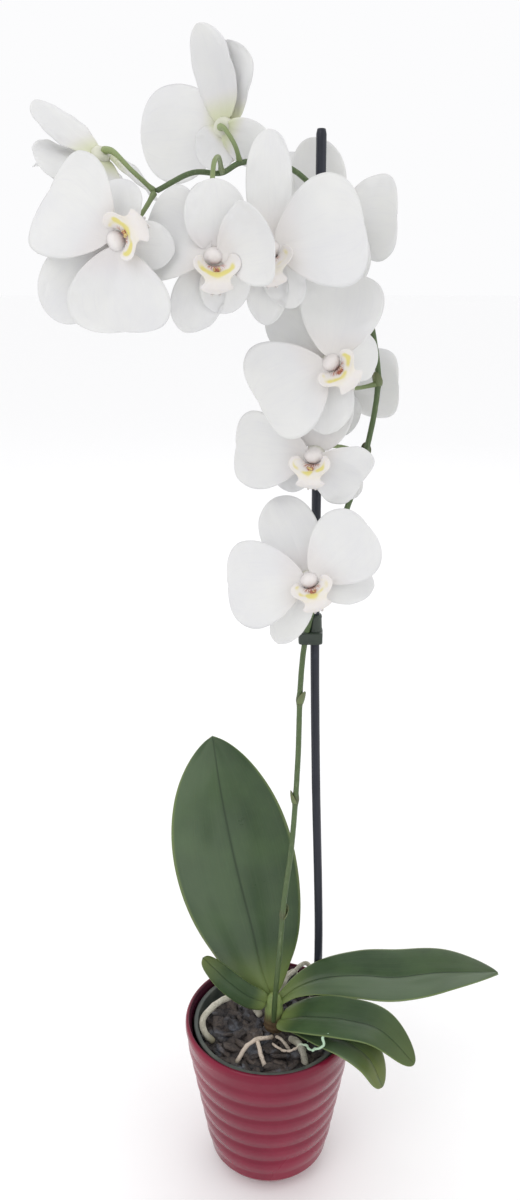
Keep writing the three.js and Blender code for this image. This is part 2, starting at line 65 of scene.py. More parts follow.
class Field:  # a number in a node tree that formulas can be written with
    def __init__(self, tree, socket):
        self.tree = tree
        self.socket = socket

    def math(self, operation, *others):
        node = self.tree.nodes.new("ShaderNodeMath")
        node.operation = operation
        for socket, value in zip(node.inputs, (self, *others)):
            feed(self.tree, socket, value)
        return Field(self.tree, node.outputs[0])

    def __add__(self, other):
        return self.math("ADD", other)

    def __sub__(self, other):
        return self.math("SUBTRACT", other)

    def __mul__(self, other):
        return self.math("MULTIPLY", other)

    def __truediv__(self, other):
        return self.math("DIVIDE", other)

    def bell(self, centre, width):  # 1 at the centre, and near 0 one and a half widths away
        away = (self - centre) / width
        return (away * away * -1).math("EXPONENT")

    def between(self, low, high, start=0.0, end=1.0):  # rises smoothly from start to end
        node = self.tree.nodes.new("ShaderNodeMapRange")
        node.interpolation_type = "SMOOTHSTEP"
        for socket, value in zip(node.inputs, (self, low, high, start, end)):
            feed(self.tree, socket, value)
        return Field(self.tree, node.outputs[0])


def feed(tree, socket, value):  # links or sets a node's input
    if isinstance(value, Field):
        value = value.socket
    if isinstance(value, bpy.types.NodeSocket):
        tree.links.new(value, socket)
    else:
        socket.default_value = value


def addNode(tree, kind, inputs=None, **settings):
    node = tree.nodes.new(kind)
    for name, value in settings.items():
        setattr(node, name, value)
    for name, value in (inputs or {}).items():
        feed(tree, node.inputs[name], value)
    return node


def combine(tree, x, y, z):
    return addNode(tree, "ShaderNodeCombineXYZ", {"X": x, "Y": y, "Z": z}).outputs[0]


def newTree(name, inputs):  # a Geometry Nodes tree with a geometry and the named inputs
    tree = bpy.data.node_groups.new(name, "GeometryNodeTree")
    tree.interface.new_socket("Geometry", in_out="INPUT", socket_type="NodeSocketGeometry")
    tree.interface.new_socket("Geometry", in_out="OUTPUT", socket_type="NodeSocketGeometry")
    kinds = {int: "NodeSocketInt", float: "NodeSocketFloat", "Material": "NodeSocketMaterial",
             "Collection": "NodeSocketCollection"}
    for title, kind in inputs.items():
        tree.interface.new_socket(title, in_out="INPUT", socket_type=kinds[kind])
    source = tree.nodes.new("NodeGroupInput")
    fields = {title: Field(tree, source.outputs[title]) for title in inputs}
    return tree, source.outputs["Geometry"], fields


def endTree(tree, geometry, material):  # the last nodes of every tree
    smooth = addNode(tree, "GeometryNodeSetShadeSmooth", {"Geometry": geometry})
    real = addNode(tree, "GeometryNodeRealizeInstances", {"Geometry": smooth.outputs[0]})
    painted = addNode(tree, "GeometryNodeSetMaterial", {"Geometry": real.outputs[0]})
    feed(tree, painted.inputs["Material"], material)
    target = tree.nodes.new("NodeGroupOutput")
    tree.links.new(painted.outputs[0], target.inputs[0])


def keepValue(tree, geometry, name, value, domain="POINT"):  # stores a named attribute
    inputs = {"Geometry": geometry, "Name": name, "Value": value}
    return addNode(tree, "GeometryNodeStoreNamedAttribute", inputs, domain=domain).outputs[0]


def grow(name, tree, values, source=None):  # runs a tree on an object and keeps a plain mesh
    carrier = bpy.data.objects.new(name + "Source", source or bpy.data.meshes.new(name + "Source"))
    scene.collection.objects.link(carrier)
    modifier = carrier.modifiers.new("grow", "NODES")
    modifier.node_group = tree
    for item in tree.interface.items_tree:
        if item.in_out == "INPUT" and item.name in values:
            modifier[item.identifier] = values[item.name]
    bpy.context.view_layer.update()
    evaluated = carrier.evaluated_get(bpy.context.evaluated_depsgraph_get())
    mesh = bpy.data.meshes.new_from_object(evaluated)
    bpy.data.objects.remove(carrier)
    mesh.name = name
    piece = bpy.data.objects.new(name, mesh)
    scene.collection.objects.link(piece)
    return piece


def dress(piece, slot, *nodes):  # hides the frame's nodes that the piece replaces and makes it move with the root body
    if nodes:
        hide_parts(*nodes)
    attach(piece, "root")
    return piece


class Shape:  # places in millimetres, faces and named values that become one mesh
    def __init__(self):
        self.places = []
        self.faces = []
        self.values = {}

    def add(self, places, faces, **values):
        start = len(self.places)
        self.places += places
        self.faces += [[start + corner for corner in face] for face in faces]
        for name, given in values.items():
            given = given if isinstance(given, list) else [given] * len(places)
            held = self.values.setdefault(name, [])
            held += [0.0] * (start - len(held)) + given

    def piece(self, name, material):
        mesh = bpy.data.meshes.new(name)
        mesh.from_pydata([tuple(place * mm) for place in self.places], [], self.faces)
        for title, held in self.values.items():
            held += [0.0] * (len(self.places) - len(held))
            mesh.attributes.new(title, "FLOAT", "POINT").data.foreach_set("value", held)
        mesh.polygons.foreach_set("use_smooth", [True] * len(mesh.polygons))
        mesh.materials.append(material)
        mesh.update()
        piece = bpy.data.objects.new(name, mesh)
        scene.collection.objects.link(piece)
        return piece


def slab(surface, thickness, rows, columns):
    # A thin closed body on both sides of surface(u, v), with its u and v and its upper side.
    at = [[surface(i / rows, j / columns) for j in range(columns + 1)] for i in range(rows + 1)]
    upper, lower, along, across = [], [], [], []
    for i in range(rows + 1):
        for j in range(columns + 1):
            ahead = at[min(i + 1, rows)][j] - at[max(i - 1, 0)][j]
            aside = at[i][min(j + 1, columns)] - at[i][max(j - 1, 0)]
            normal = ahead.cross(aside).normalized()
            half = thickness(i / rows, j / columns) / 2
            upper.append(at[i][j] + normal * half)
            lower.append(at[i][j] - normal * half)
            along.append(i / rows)
            across.append(2 * j / columns - 1)
    width = columns + 1
    count = len(upper)
    faces = []
    for i in range(rows):
        for j in range(columns):
            a = i * width + j
            faces.append([a, a + width, a + width + 1, a + 1])
            faces.append([count + a, count + a + 1, count + a + width + 1, count + a + width])
    rim = [i * width for i in range(rows)] + [rows * width + j for j in range(columns)]
    rim += [i * width + columns for i in range(rows, 0, -1)] + list(range(columns, 0, -1))
    for a, b in zip(rim, rim[1:] + rim[:1]):
        faces.append([a, count + a, count + b, b])
    side = [1.0] * count + [0.0] * count
    return upper + lower, faces, {"along": along * 2, "across": across * 2, "upperSide": side}


def turned(profile, sides, wobble=None):
    # A body turned about +Z from (radius, height) pairs that start and end on the axis.
    places = [Vector((0, 0, profile[0][1]))]
    inner = profile[1:-1]
    for radius, height in inner:
        for k in range(sides):
            angle = 2 * math.pi * k / sides
            reach = radius + (wobble(angle, height) if wobble else 0)
            places.append(Vector((reach * math.cos(angle), reach * math.sin(angle), height)))
    places.append(Vector((0, 0, profile[-1][1])))
    return places, polarFaces(len(inner), sides)


def polarFaces(rings, sides):  # the faces of rings of points between a first and a last pole
    last = rings * sides + 1
    faces = []
    for k in range(sides):
        after = (k + 1) % sides
        faces.append([0, 1 + after, 1 + k])
        faces.append([last, last - sides + k, last - sides + after])
        for i in range(rings - 1):
            a, b = 1 + i * sides + k, 1 + i * sides + after
            faces.append([a, b, b + sides, a + sides])
    return faces


def cappedFaces(rings, sides):  # the faces of rings of points with a flat cap at both ends
    faces = []
    for i in range(rings - 1):
        for k in range(sides):
            a, b = i * sides + k, i * sides + (k + 1) % sides
            faces.append([a, b, b + sides, a + sides])
    faces.append(list(range(sides))[::-1])
    faces.append([(rings - 1) * sides + k for k in range(sides)])
    return faces


def rounded(profile, steps=4):  # a profile with its corners cut into short curves
    softened = [profile[0]]
    for before, corner, after in zip(profile, profile[1:], profile[2:]):
        reach = min(math.dist(before, corner), math.dist(corner, after)) * 0.35
        ends = []
        for other in (before, after):
            share = reach / max(math.dist(corner, other), 1e-6)
            ends.append([corner[k] + (other[k] - corner[k]) * share for k in (0, 1)])
        for step in range(steps + 1):
            t = step / steps
            first, middle, final = (1 - t) ** 2, 2 * t * (1 - t), t ** 2
            softened.append([first * ends[0][k] + middle * corner[k] + final * ends[1][k] for k in (0, 1)])
    return softened + [profile[-1]]


class Path:  # a smooth path through points, read by its share of the whole length
    def __init__(self, points, samples=300):
        self.points = [Vector(point) for point in points]
        last = len(self.points) - 1
        self.dense = [self.curve(last * k / samples) for k in range(samples + 1)]
        self.lengths = [0.0]
        for before, after in zip(self.dense, self.dense[1:]):
            self.lengths.append(self.lengths[-1] + (after - before).length)

    def curve(self, place):  # passes each point without overshooting, however far apart they are
        i = min(int(place), len(self.points) - 2)
        t = place - i
        b, c = self.points[i], self.points[i + 1]
        a = self.points[i - 1] if i > 0 else 2 * b - c
        d = self.points[i + 2] if i + 2 < len(self.points) else 2 * c - b
        e, f, g = (math.sqrt((q - p).length) for p, q in ((a, b), (b, c), (c, d)))
        leave = ((b - a) / e - (c - a) / (e + f) + (c - b) / f) * f
        arrive = ((c - b) / f - (d - b) / (f + g) + (d - c) / g) * f
        bend = 3 * (c - b) - 2 * leave - arrive
        return b + leave * t + bend * t ** 2 + (2 * (b - c) + leave + arrive) * t ** 3

    def at(self, share):
        reach = max(0.0, min(share, 1.0)) * self.lengths[-1]
        low, high = 0, len(self.lengths) - 1
        while high - low > 1:
            middle = (low + high) // 2
            if self.lengths[middle] > reach:
                high = middle
            else:
                low = middle
        span = self.lengths[high] - self.lengths[low]
        return self.dense[low].lerp(self.dense[high], (reach - self.lengths[low]) / span)

    def direction(self, share):
        return (self.at(share + 0.004) - self.at(share - 0.004)).normalized()


def outline(s, swell, point):  # half the width of a leaf or petal, 1 at its widest
    widest = swell / (swell + point)
    return s ** swell * (1 - s) ** point / (widest ** swell * (1 - widest) ** point)


def hump(x, middle, width):  # 1 in the middle, and near 0 one and a half widths away
    return math.exp(-(((x - middle) / width) ** 2))


def squareOff(wave, power):  # pushes a sine or cosine out, so that a round outline gets corners
    return math.copysign(abs(wave) ** power, wave)


def clamp(value):
    return min(1.0, max(0.0, value))


def tone(red, green, blue):  # a colour as it is seen, from 0 to 255
    return tuple(((part / 255 + 0.055) / 1.055) ** 2.4 for part in (red, green, blue)) + (1.0,)


def newFinish(name, **settings):
    finish = bpy.data.materials.new(name)
    finish.use_nodes = True
    tree = finish.node_tree
    shader = tree.nodes["Principled BSDF"]
    titles = {
        "coat": "Coat Weight", "coatRoughness": "Coat Roughness", "sheen": "Sheen Weight",
        "sheenRoughness": "Sheen Roughness", "specular": "Specular IOR Level", "roughness": "Roughness",
        "inner": "Subsurface Weight", "innerScale": "Subsurface Scale", "depth": "Subsurface Radius",
    }
    for title, value in settings.items():
        shader.inputs[titles[title]].default_value = value
    return finish, tree, shader


def objectPlace(tree, stretch=(1, 1, 1)):  # places on the piece, larger numbers for finer patterns
    place = addNode(tree, "ShaderNodeTexCoord").outputs["Object"]
    return addNode(tree, "ShaderNodeMapping", {"Vector": place, "Scale": stretch}).outputs[0]


def grain(tree, place, scale, detail=3.0, roughness=0.55, distortion=0.0):
    inputs = {"Vector": place, "Scale": scale, "Detail": detail, "Roughness": roughness,
              "Distortion": distortion}
    return Field(tree, addNode(tree, "ShaderNodeTexNoise", inputs).outputs[0])


def cells(tree, place, scale):
    node = addNode(tree, "ShaderNodeTexVoronoi", {"Vector": place, "Scale": scale})
    return Field(tree, node.outputs["Distance"])


def stored(tree, name):  # a value that the mesh carries
    node = addNode(tree, "ShaderNodeAttribute", attribute_name=name)
    return Field(tree, node.outputs["Fac"])


def blend(tree, share, one, other):  # from one colour to the other
    node = addNode(tree, "ShaderNodeMix", data_type="RGBA", clamp_factor=True)
    for index, value in ((0, share), (6, one), (7, other)):  # factor, A and B of a colour mix
        feed(tree, node.inputs[index], value)
    return node.outputs[2]


def relief(tree, shader, height, distance, strength=1.0):  # distance in millimetres
    inputs = {"Height": height, "Distance": distance * mm, "Strength": strength}
    feed(tree, shader.inputs["Normal"], addNode(tree, "ShaderNodeBump", inputs).outputs[0])


def glazedCeramic():
    finish, tree, shader = newFinish("glazedCeramic", coat=0.08, coatRoughness=0.05, specular=0.2)
    place = objectPlace(tree)
    cloud = grain(tree, place, 14.0, 3.0)
    speck = grain(tree, place, 900.0, 1.0)
    crest = stored(tree, "crest")
    pooled = blend(tree, cloud.between(0.35, 0.7), tone(110, 20, 44), tone(127, 28, 53))
    # The rib crests are painted a lighter pink: a painted highlight along each crest.
    crestHighlight = blend(tree, (crest - 0.6 + cloud * 0.2).between(0.0, 0.4, 0.0, 0.16), pooled, tone(152, 60, 82))
    dotted = blend(tree, speck.between(0.66, 0.8, 0.0, 0.35), crestHighlight, tone(92, 18, 38))
    # The pot's inside is painted dark: painted shade within the pot.
    paintedInnerShade = blend(tree, stored(tree, "inner"), dotted, tone(62, 22, 38))
    feed(tree, shader.inputs["Base Color"], paintedInnerShade)
    feed(tree, shader.inputs["Roughness"], cloud.between(0.3, 0.8, 0.2, 0.32))
    waves = grain(tree, objectPlace(tree, (1, 1, 2.2)), 32.0, 2.0)
    relief(tree, shader, waves, 0.9, 0.5)
    return finish


def growPotPlastic():
    finish, tree, shader = newFinish("growPotPlastic", specular=0.4)
    place = objectPlace(tree)
    dust = grain(tree, place, 60.0, 4.0)
    colour = blend(tree, dust.between(0.4, 0.75, 0.0, 0.6), tone(66, 72, 68), tone(112, 114, 104))
    feed(tree, shader.inputs["Base Color"], colour)
    feed(tree, shader.inputs["Roughness"], dust.between(0.3, 0.7, 0.35, 0.6))
    relief(tree, shader, dust, 0.15, 0.4)
    return finish


def barkChips():
    finish, tree, shader = newFinish("barkChips", specular=0.35)
    place = objectPlace(tree)
    chip = stored(tree, "tone")
    grainy = grain(tree, objectPlace(tree, (1, 1, 3)), 260.0, 5.0, 0.65, 0.6)
    rough = grain(tree, place, 90.0, 4.0)
    dark = blend(tree, chip, tone(54, 51, 51), tone(96, 86, 79))
    layered = blend(tree, grainy.between(0.4, 0.65, 0.0, 0.7), dark, tone(36, 34, 40))
    # Lighter bluish-grey patches on the chips: a painted highlight.
    bluishHighlight = blend(tree, rough.between(0.48, 0.7, 0.0, 0.45), layered, tone(120, 126, 138))
    feed(tree, shader.inputs["Base Color"], bluishHighlight)
    feed(tree, shader.inputs["Roughness"], rough.between(0.4, 0.7, 0.85, 0.42))
    relief(tree, shader, grainy + rough * 0.7, 1.1, 0.9)
    return finish


def crownSkin():
    finish, tree, shader = newFinish("crownSkin", inner=0.06, innerScale=0.002, specular=0.4)
    place = objectPlace(tree)
    height = Field(tree, addNode(tree, "ShaderNodeSeparateXYZ", {"Vector": place}).outputs["Z"])
    patches = grain(tree, place, 150.0, 4.0)
    streaks = grain(tree, objectPlace(tree, (6, 6, 1)), 120.0, 4.0)
    old = blend(tree, patches, tone(58, 42, 30), tone(104, 84, 56))
    young = blend(tree, streaks, tone(98, 120, 70), tone(150, 166, 104))
    share = (height + patches * 0.012).between(0.132, 0.146)
    feed(tree, shader.inputs["Base Color"], blend(tree, share, old, young))
    feed(tree, shader.inputs["Roughness"], share * -0.3 + 0.78)
    relief(tree, shader, streaks + patches, 0.5, 0.6)
    return finish


def stemSkin():
    finish, tree, shader = newFinish("stemSkin", inner=0.05, innerScale=0.002, specular=0.45)
    place = objectPlace(tree)
    patches = grain(tree, place, 70.0, 4.0)
    streaks = grain(tree, objectPlace(tree, (3, 3, 0.4)), 420.0, 3.0)
    joint = stored(tree, "joint")
    stalk = stored(tree, "stalk")
    green = blend(tree, patches, tone(58, 76, 44), tone(88, 107, 66))
    fresh = blend(tree, stalk, green, tone(142, 156, 104))
    ringed = blend(tree, joint * 0.55, fresh, tone(74, 66, 48))
    streaked = blend(tree, streaks.between(0.5, 0.8, 0, 0.3), ringed, tone(150, 160, 122))
    feed(tree, shader.inputs["Base Color"], streaked)
    feed(tree, shader.inputs["Roughness"], patches.between(0.3, 0.7, 0.38, 0.55))
    relief(tree, shader, streaks, 0.25, 0.5)
    return finish


def stakeCoat():
    finish, tree, shader = newFinish("stakeCoat", coat=0.1, coatRoughness=0.3, specular=0.3)
    lines = grain(tree, objectPlace(tree, (12, 12, 0.5)), 90.0, 4.0)
    worn = grain(tree, objectPlace(tree), 35.0, 5.0)
    dark = blend(tree, lines, tone(22, 24, 31), tone(42, 46, 58))
    rubbed = blend(tree, worn.between(0.62, 0.8, 0, 0.35), dark, tone(74, 80, 92))
    feed(tree, shader.inputs["Base Color"], rubbed)
    feed(tree, shader.inputs["Roughness"], worn.between(0.3, 0.7, 0.34, 0.52))
    relief(tree, shader, lines, 0.18, 0.5)
    return finish


def clipPlastic():
    finish, tree, shader = newFinish("clipPlastic", coat=0.2, coatRoughness=0.25)
    cloud = grain(tree, objectPlace(tree), 160.0, 3.0)
    feed(tree, shader.inputs["Base Color"], blend(tree, cloud, tone(22, 34, 26), tone(44, 58, 44)))
    feed(tree, shader.inputs["Roughness"], cloud.between(0.3, 0.7, 0.3, 0.46))
    relief(tree, shader, cloud, 0.08, 0.5)
    return finish


def leafSkin():
    finish, tree, shader = newFinish("leafSkin", coat=0.04, coatRoughness=0.3, specular=0.3, inner=0.03,
                                     innerScale=0.002)
    along = stored(tree, "along")
    across = stored(tree, "across")
    upper = stored(tree, "upperSide")
    ripe = stored(tree, "ripe")
    pale = stored(tree, "pale")
    place = objectPlace(tree)
    cloud = grain(tree, place, 22.0, 4.0)
    fine = grain(tree, place, 420.0, 3.0)
    line = combine(tree, along * 1.6, across * 30.0, 0.0)
    veins = grain(tree, line, 1.0, 2.0, 0.5)
    sheen = grain(tree, combine(tree, along * 3.4, across * 1.6, ripe), 1.0, 1.0, 0.4)
    edge = across.math("ABSOLUTE")
    base = blend(tree, cloud.between(0.3, 0.72), tone(42, 62, 36), tone(60, 82, 48))
    striped = blend(tree, veins.between(0.45, 0.75, 0.0, 0.22), base, tone(72, 92, 60))
    yellowed = blend(tree, ((along - 0.55) * 2.0 + cloud * 0.3) * ripe, striped, tone(98, 108, 40))
    # Lighter grey-green where the sheen noise peaks, scaled per leaf: a painted sheen.
    paintedSheen = blend(tree, sheen.between(0.3, 0.6, 0.35, 1.0) * pale, yellowed, tone(96, 112, 88))
    rimmed = blend(tree, edge.between(0.93, 1.0, 0.0, 0.7), paintedSheen, tone(118, 136, 76))
    rib = blend(tree, across.bell(0.0, 0.022) * 0.75, rimmed, tone(36, 52, 32))
    foot = blend(tree, along.between(0.0, 0.16, 0.75, 0.0), rib, tone(124, 140, 80))
    below = blend(tree, cloud, tone(78, 96, 62), tone(100, 118, 80))
    feed(tree, shader.inputs["Base Color"], blend(tree, upper, below, foot))
    feed(tree, shader.inputs["Roughness"], (cloud + fine * 0.3).between(0.4, 0.9, 0.27, 0.42))
    relief(tree, shader, veins * 0.25 + sheen * 2.0 + fine * 0.1 - across.bell(0.0, 0.03) * 1.2, 0.4, 0.8)
    return finish


def rootSkin():
    finish, tree, shader = newFinish("rootSkin", specular=0.3)
    place = objectPlace(tree)
    cloud = grain(tree, place, 120.0, 4.0)
    fine = grain(tree, place, 900.0, 4.0, 0.7)
    rings = cells(tree, place, 420.0)
    green = stored(tree, "green")
    warm = stored(tree, "warm")
    tip = stored(tree, "tip")
    silver = blend(tree, cloud.between(0.3, 0.7), tone(150, 146, 128), tone(206, 202, 188))
    tinted = blend(tree, warm * 0.8, silver, tone(212, 195, 180))
    minted = blend(tree, green * 0.85, tinted, tone(176, 208, 180))
    aged = blend(tree, (fine + cloud * 0.4).between(0.72, 0.95, 0.0, 0.6), minted, tone(98, 88, 66))
    feed(tree, shader.inputs["Base Color"], blend(tree, tip, aged, tone(92, 84, 58)))
    feed(tree, shader.inputs["Roughness"], cloud.between(0.3, 0.7, 0.6, 0.85))
    relief(tree, shader, fine * 0.5 + rings * 0.6, 0.5, 0.6)
    return finish


def petalSkin():
    finish, tree, shader = newFinish("petalSkin", inner=0.22, innerScale=0.004, sheen=0.12, specular=0.25,
                                     sheenRoughness=0.4, depth=(1.0, 1.0, 0.9))
    along = stored(tree, "along")
    across = stored(tree, "across")
    heart = stored(tree, "heart")
    tint = stored(tree, "tint")
    place = objectPlace(tree)
    cloud = grain(tree, place, 26.0, 3.0)
    cell = grain(tree, place, 1500.0, 2.0)
    wander = grain(tree, place, 60.0, 2.0) * 0.8
    fan = combine(tree, along * 2.2, across * 15.0 + wander, tint * 7.0)
    veins = grain(tree, fan, 1.0, 2.0, 0.5)
    white = blend(tree, cloud.between(0.3, 0.7), tone(211, 211, 212), tone(217, 217, 215))
    veined = blend(tree, veins.between(0.5, 0.8, 0.0, 0.16), white, tone(200, 199, 207))
    blush = blend(tree, along.between(0.04, 0.26, 0.35, 0.0), veined, tone(214, 202, 203))
    lime = blend(tree, along.between(0.02, 0.2, 0.7, 0.0) * tint, blush, tone(196, 202, 156))
    pink = blend(tree, cloud, tone(224, 221, 219), tone(221, 214, 212))
    feed(tree, shader.inputs["Base Color"], blend(tree, heart, lime, pink))
    feed(tree, shader.inputs["Roughness"], cloud.between(0.3, 0.7, 0.46, 0.6))
    relief(tree, shader, veins * 1.0 + cell * 0.1, 0.16, 0.5)
    return finish


def lipSkin():
    finish, tree, shader = newFinish("lipSkin", inner=0.18, innerScale=0.003, specular=0.4,
                                     depth=(1.0, 0.9, 0.6))
    along = stored(tree, "along")
    across = stored(tree, "across")
    callus = stored(tree, "callus")
    place = objectPlace(tree)
    cloud = grain(tree, place, 260.0, 3.0)
    side = across.math("ABSOLUTE")
    stripes = grain(tree, combine(tree, along * 3.0, across * 13.0, callus), 1.0, 2.0, 0.5)
    spots = grain(tree, place, 520.0, 1.0)
    white = blend(tree, cloud, tone(222, 220, 216), tone(218, 211, 210))
    smile = (along + side * side * 0.3).bell(0.47, 0.1) * side.between(0.7, 0.95, 1.0, 0.0)
    patchy = grain(tree, place, 130.0, 1.0).between(0.38, 0.62, 0.25, 1.0)
    yellow = blend(tree, (smile * patchy).between(0.12, 0.8), white, tone(214, 204, 128))
    warmed = blend(tree, along.bell(0.56, 0.08) * 0.2, yellow, tone(218, 209, 160))
    marks = stripes.between(0.38, 0.54) * (along + side * 0.3).between(0.3, 0.44, 1.0, 0.0)
    marked = blend(tree, marks * side.between(0.3, 0.6, 0.9, 0.0), warmed, tone(174, 116, 98))
    horns = blend(tree, spots.between(0.4, 0.55), tone(212, 190, 130), tone(168, 104, 86))
    feed(tree, shader.inputs["Base Color"], blend(tree, callus, marked, horns))
    feed(tree, shader.inputs["Roughness"], cloud.between(0.3, 0.7, 0.35, 0.5))
    relief(tree, shader, cloud * 0.6 + stripes * 0.4, 0.25, 0.6)
    return finish


finishes = {
    "glazed_ceramic": glazedCeramic(),
    "grow_pot_plastic": growPotPlastic(),
    "bark": barkChips(),
    "crown": crownSkin(),
    "stem": stemSkin(),
    "stake": stakeCoat(),
    "clip": clipPlastic(),
    "leaf": leafSkin(),
    "root": rootSkin(),
    "petal": petalSkin(),
    "lip": lipSkin(),
}
print("finishes made:", len(finishes))


studio = {  # places and sizes in metres
    "cameraPlace": (-0.007, -0.640, 0.682),
    "cameraTilt": 18.2,  # degrees below the level
    "lens": 30.0,
    "floorSize": 60.0,
    "floorLevel": -0.0003,  # just under the pot's foot
    "floorTone": tone(254, 254, 254),
    "floorSpeckTone": tone(248, 248, 248),
    "skyTone": tone(252, 252, 253),
    "skyStrength": 1.0,
}
lamps = [  # place, what each is aimed at, size in metres and power in watts
    {"name": "keyLamp", "place": (-1.1, -1.7, 2.2), "aim": (0, 0, 0.45), "size": 1.5, "power": 13.0},
    {"name": "fillLamp", "place": (1.9, -1.2, 1.2), "aim": (0, 0, 0.4), "size": 1.6, "power": 4.0},
    {"name": "backLamp", "place": (0.7, 1.9, 2.1), "aim": (0, 0, 0.5), "size": 1.6, "power": 6.0},
]


def setCamera():
    camera = bpy.data.objects.new("camera", bpy.data.cameras.new("camera"))
    camera.data.lens = studio["lens"]
    camera.location = studio["cameraPlace"]
    camera.rotation_euler = (math.radians(90 - studio["cameraTilt"]), 0, 0)
    scene.collection.objects.link(camera)
    scene.camera = camera


def hangLamp(lamp):
    light = bpy.data.objects.new(lamp["name"], bpy.data.lights.new(lamp["name"], "AREA"))
    light.data.size = lamp["size"]
    light.data.energy = lamp["power"]
    light.location = lamp["place"]
    towards = Vector(lamp["aim"]) - Vector(lamp["place"])
    light.rotation_euler = towards.to_track_quat("-Z", "Y").to_euler()
    scene.collection.objects.link(light)


def setSky():
    world = bpy.data.worlds.new("paleSky")
    world.use_nodes = True
    sky = world.node_tree.nodes["Background"]
    sky.inputs["Color"].default_value = studio["skyTone"]
    sky.inputs["Strength"].default_value = studio["skyStrength"]
    scene.world = world


def paleFloor():
    finish, tree, shader = newFinish("paleFloor", roughness=0.9, specular=0.1)
    speck = grain(tree, objectPlace(tree), 40.0, 2.0)
    mottled = blend(tree, speck * 0.2, studio["floorTone"], studio["floorSpeckTone"])
    feed(tree, shader.inputs["Base Color"], mottled)
    return finish


def layFloor():
    half = studio["floorSize"] / 2
    level = studio["floorLevel"]
    corners = [(-half, -half, level), (half, -half, level), (half, half, level), (-half, half, level)]
    mesh = bpy.data.meshes.new("floor")
    mesh.from_pydata(corners, [], [(0, 1, 2, 3)])
    mesh.materials.append(paleFloor())
    floor = bpy.data.objects.new("floor", mesh)
    scene.collection.objects.link(floor)


setCamera()
for lamp in lamps:
    hangLamp(lamp)
setSky()
layFloor()
scene.view_settings.view_transform = "Standard"
print("studio set")


pot = {  # the glazed outer pot, from its foot up
    "Height": 132.0,
    "Rim radius": 65.0,
    "Collar radius": 63.4,
    "Collar height": 16.0,
    "Foot radius": 33.0,
    "Foot height": 15.0,
    "Belly radius": 46.4,
    "Rib start": 22.6,
    "Ribs": 6,
    "Rib bulge": 0.9,
    "Rib sharpness": 1.15,
    "Rim depth": 4.0,
    "Rim curve": 2.4,
    "Wall": 4.5,
    "Floor": 6.0,
    "Bead height": 5.0,
    "Inner foot radius": 38.5,
    "Corner height": 4.0,
    "Corner reach": 3.5,
    "Rows": 260,
    "Inner rows": 70,
    "Disc rows": 6,
    "Sides": 160,
}


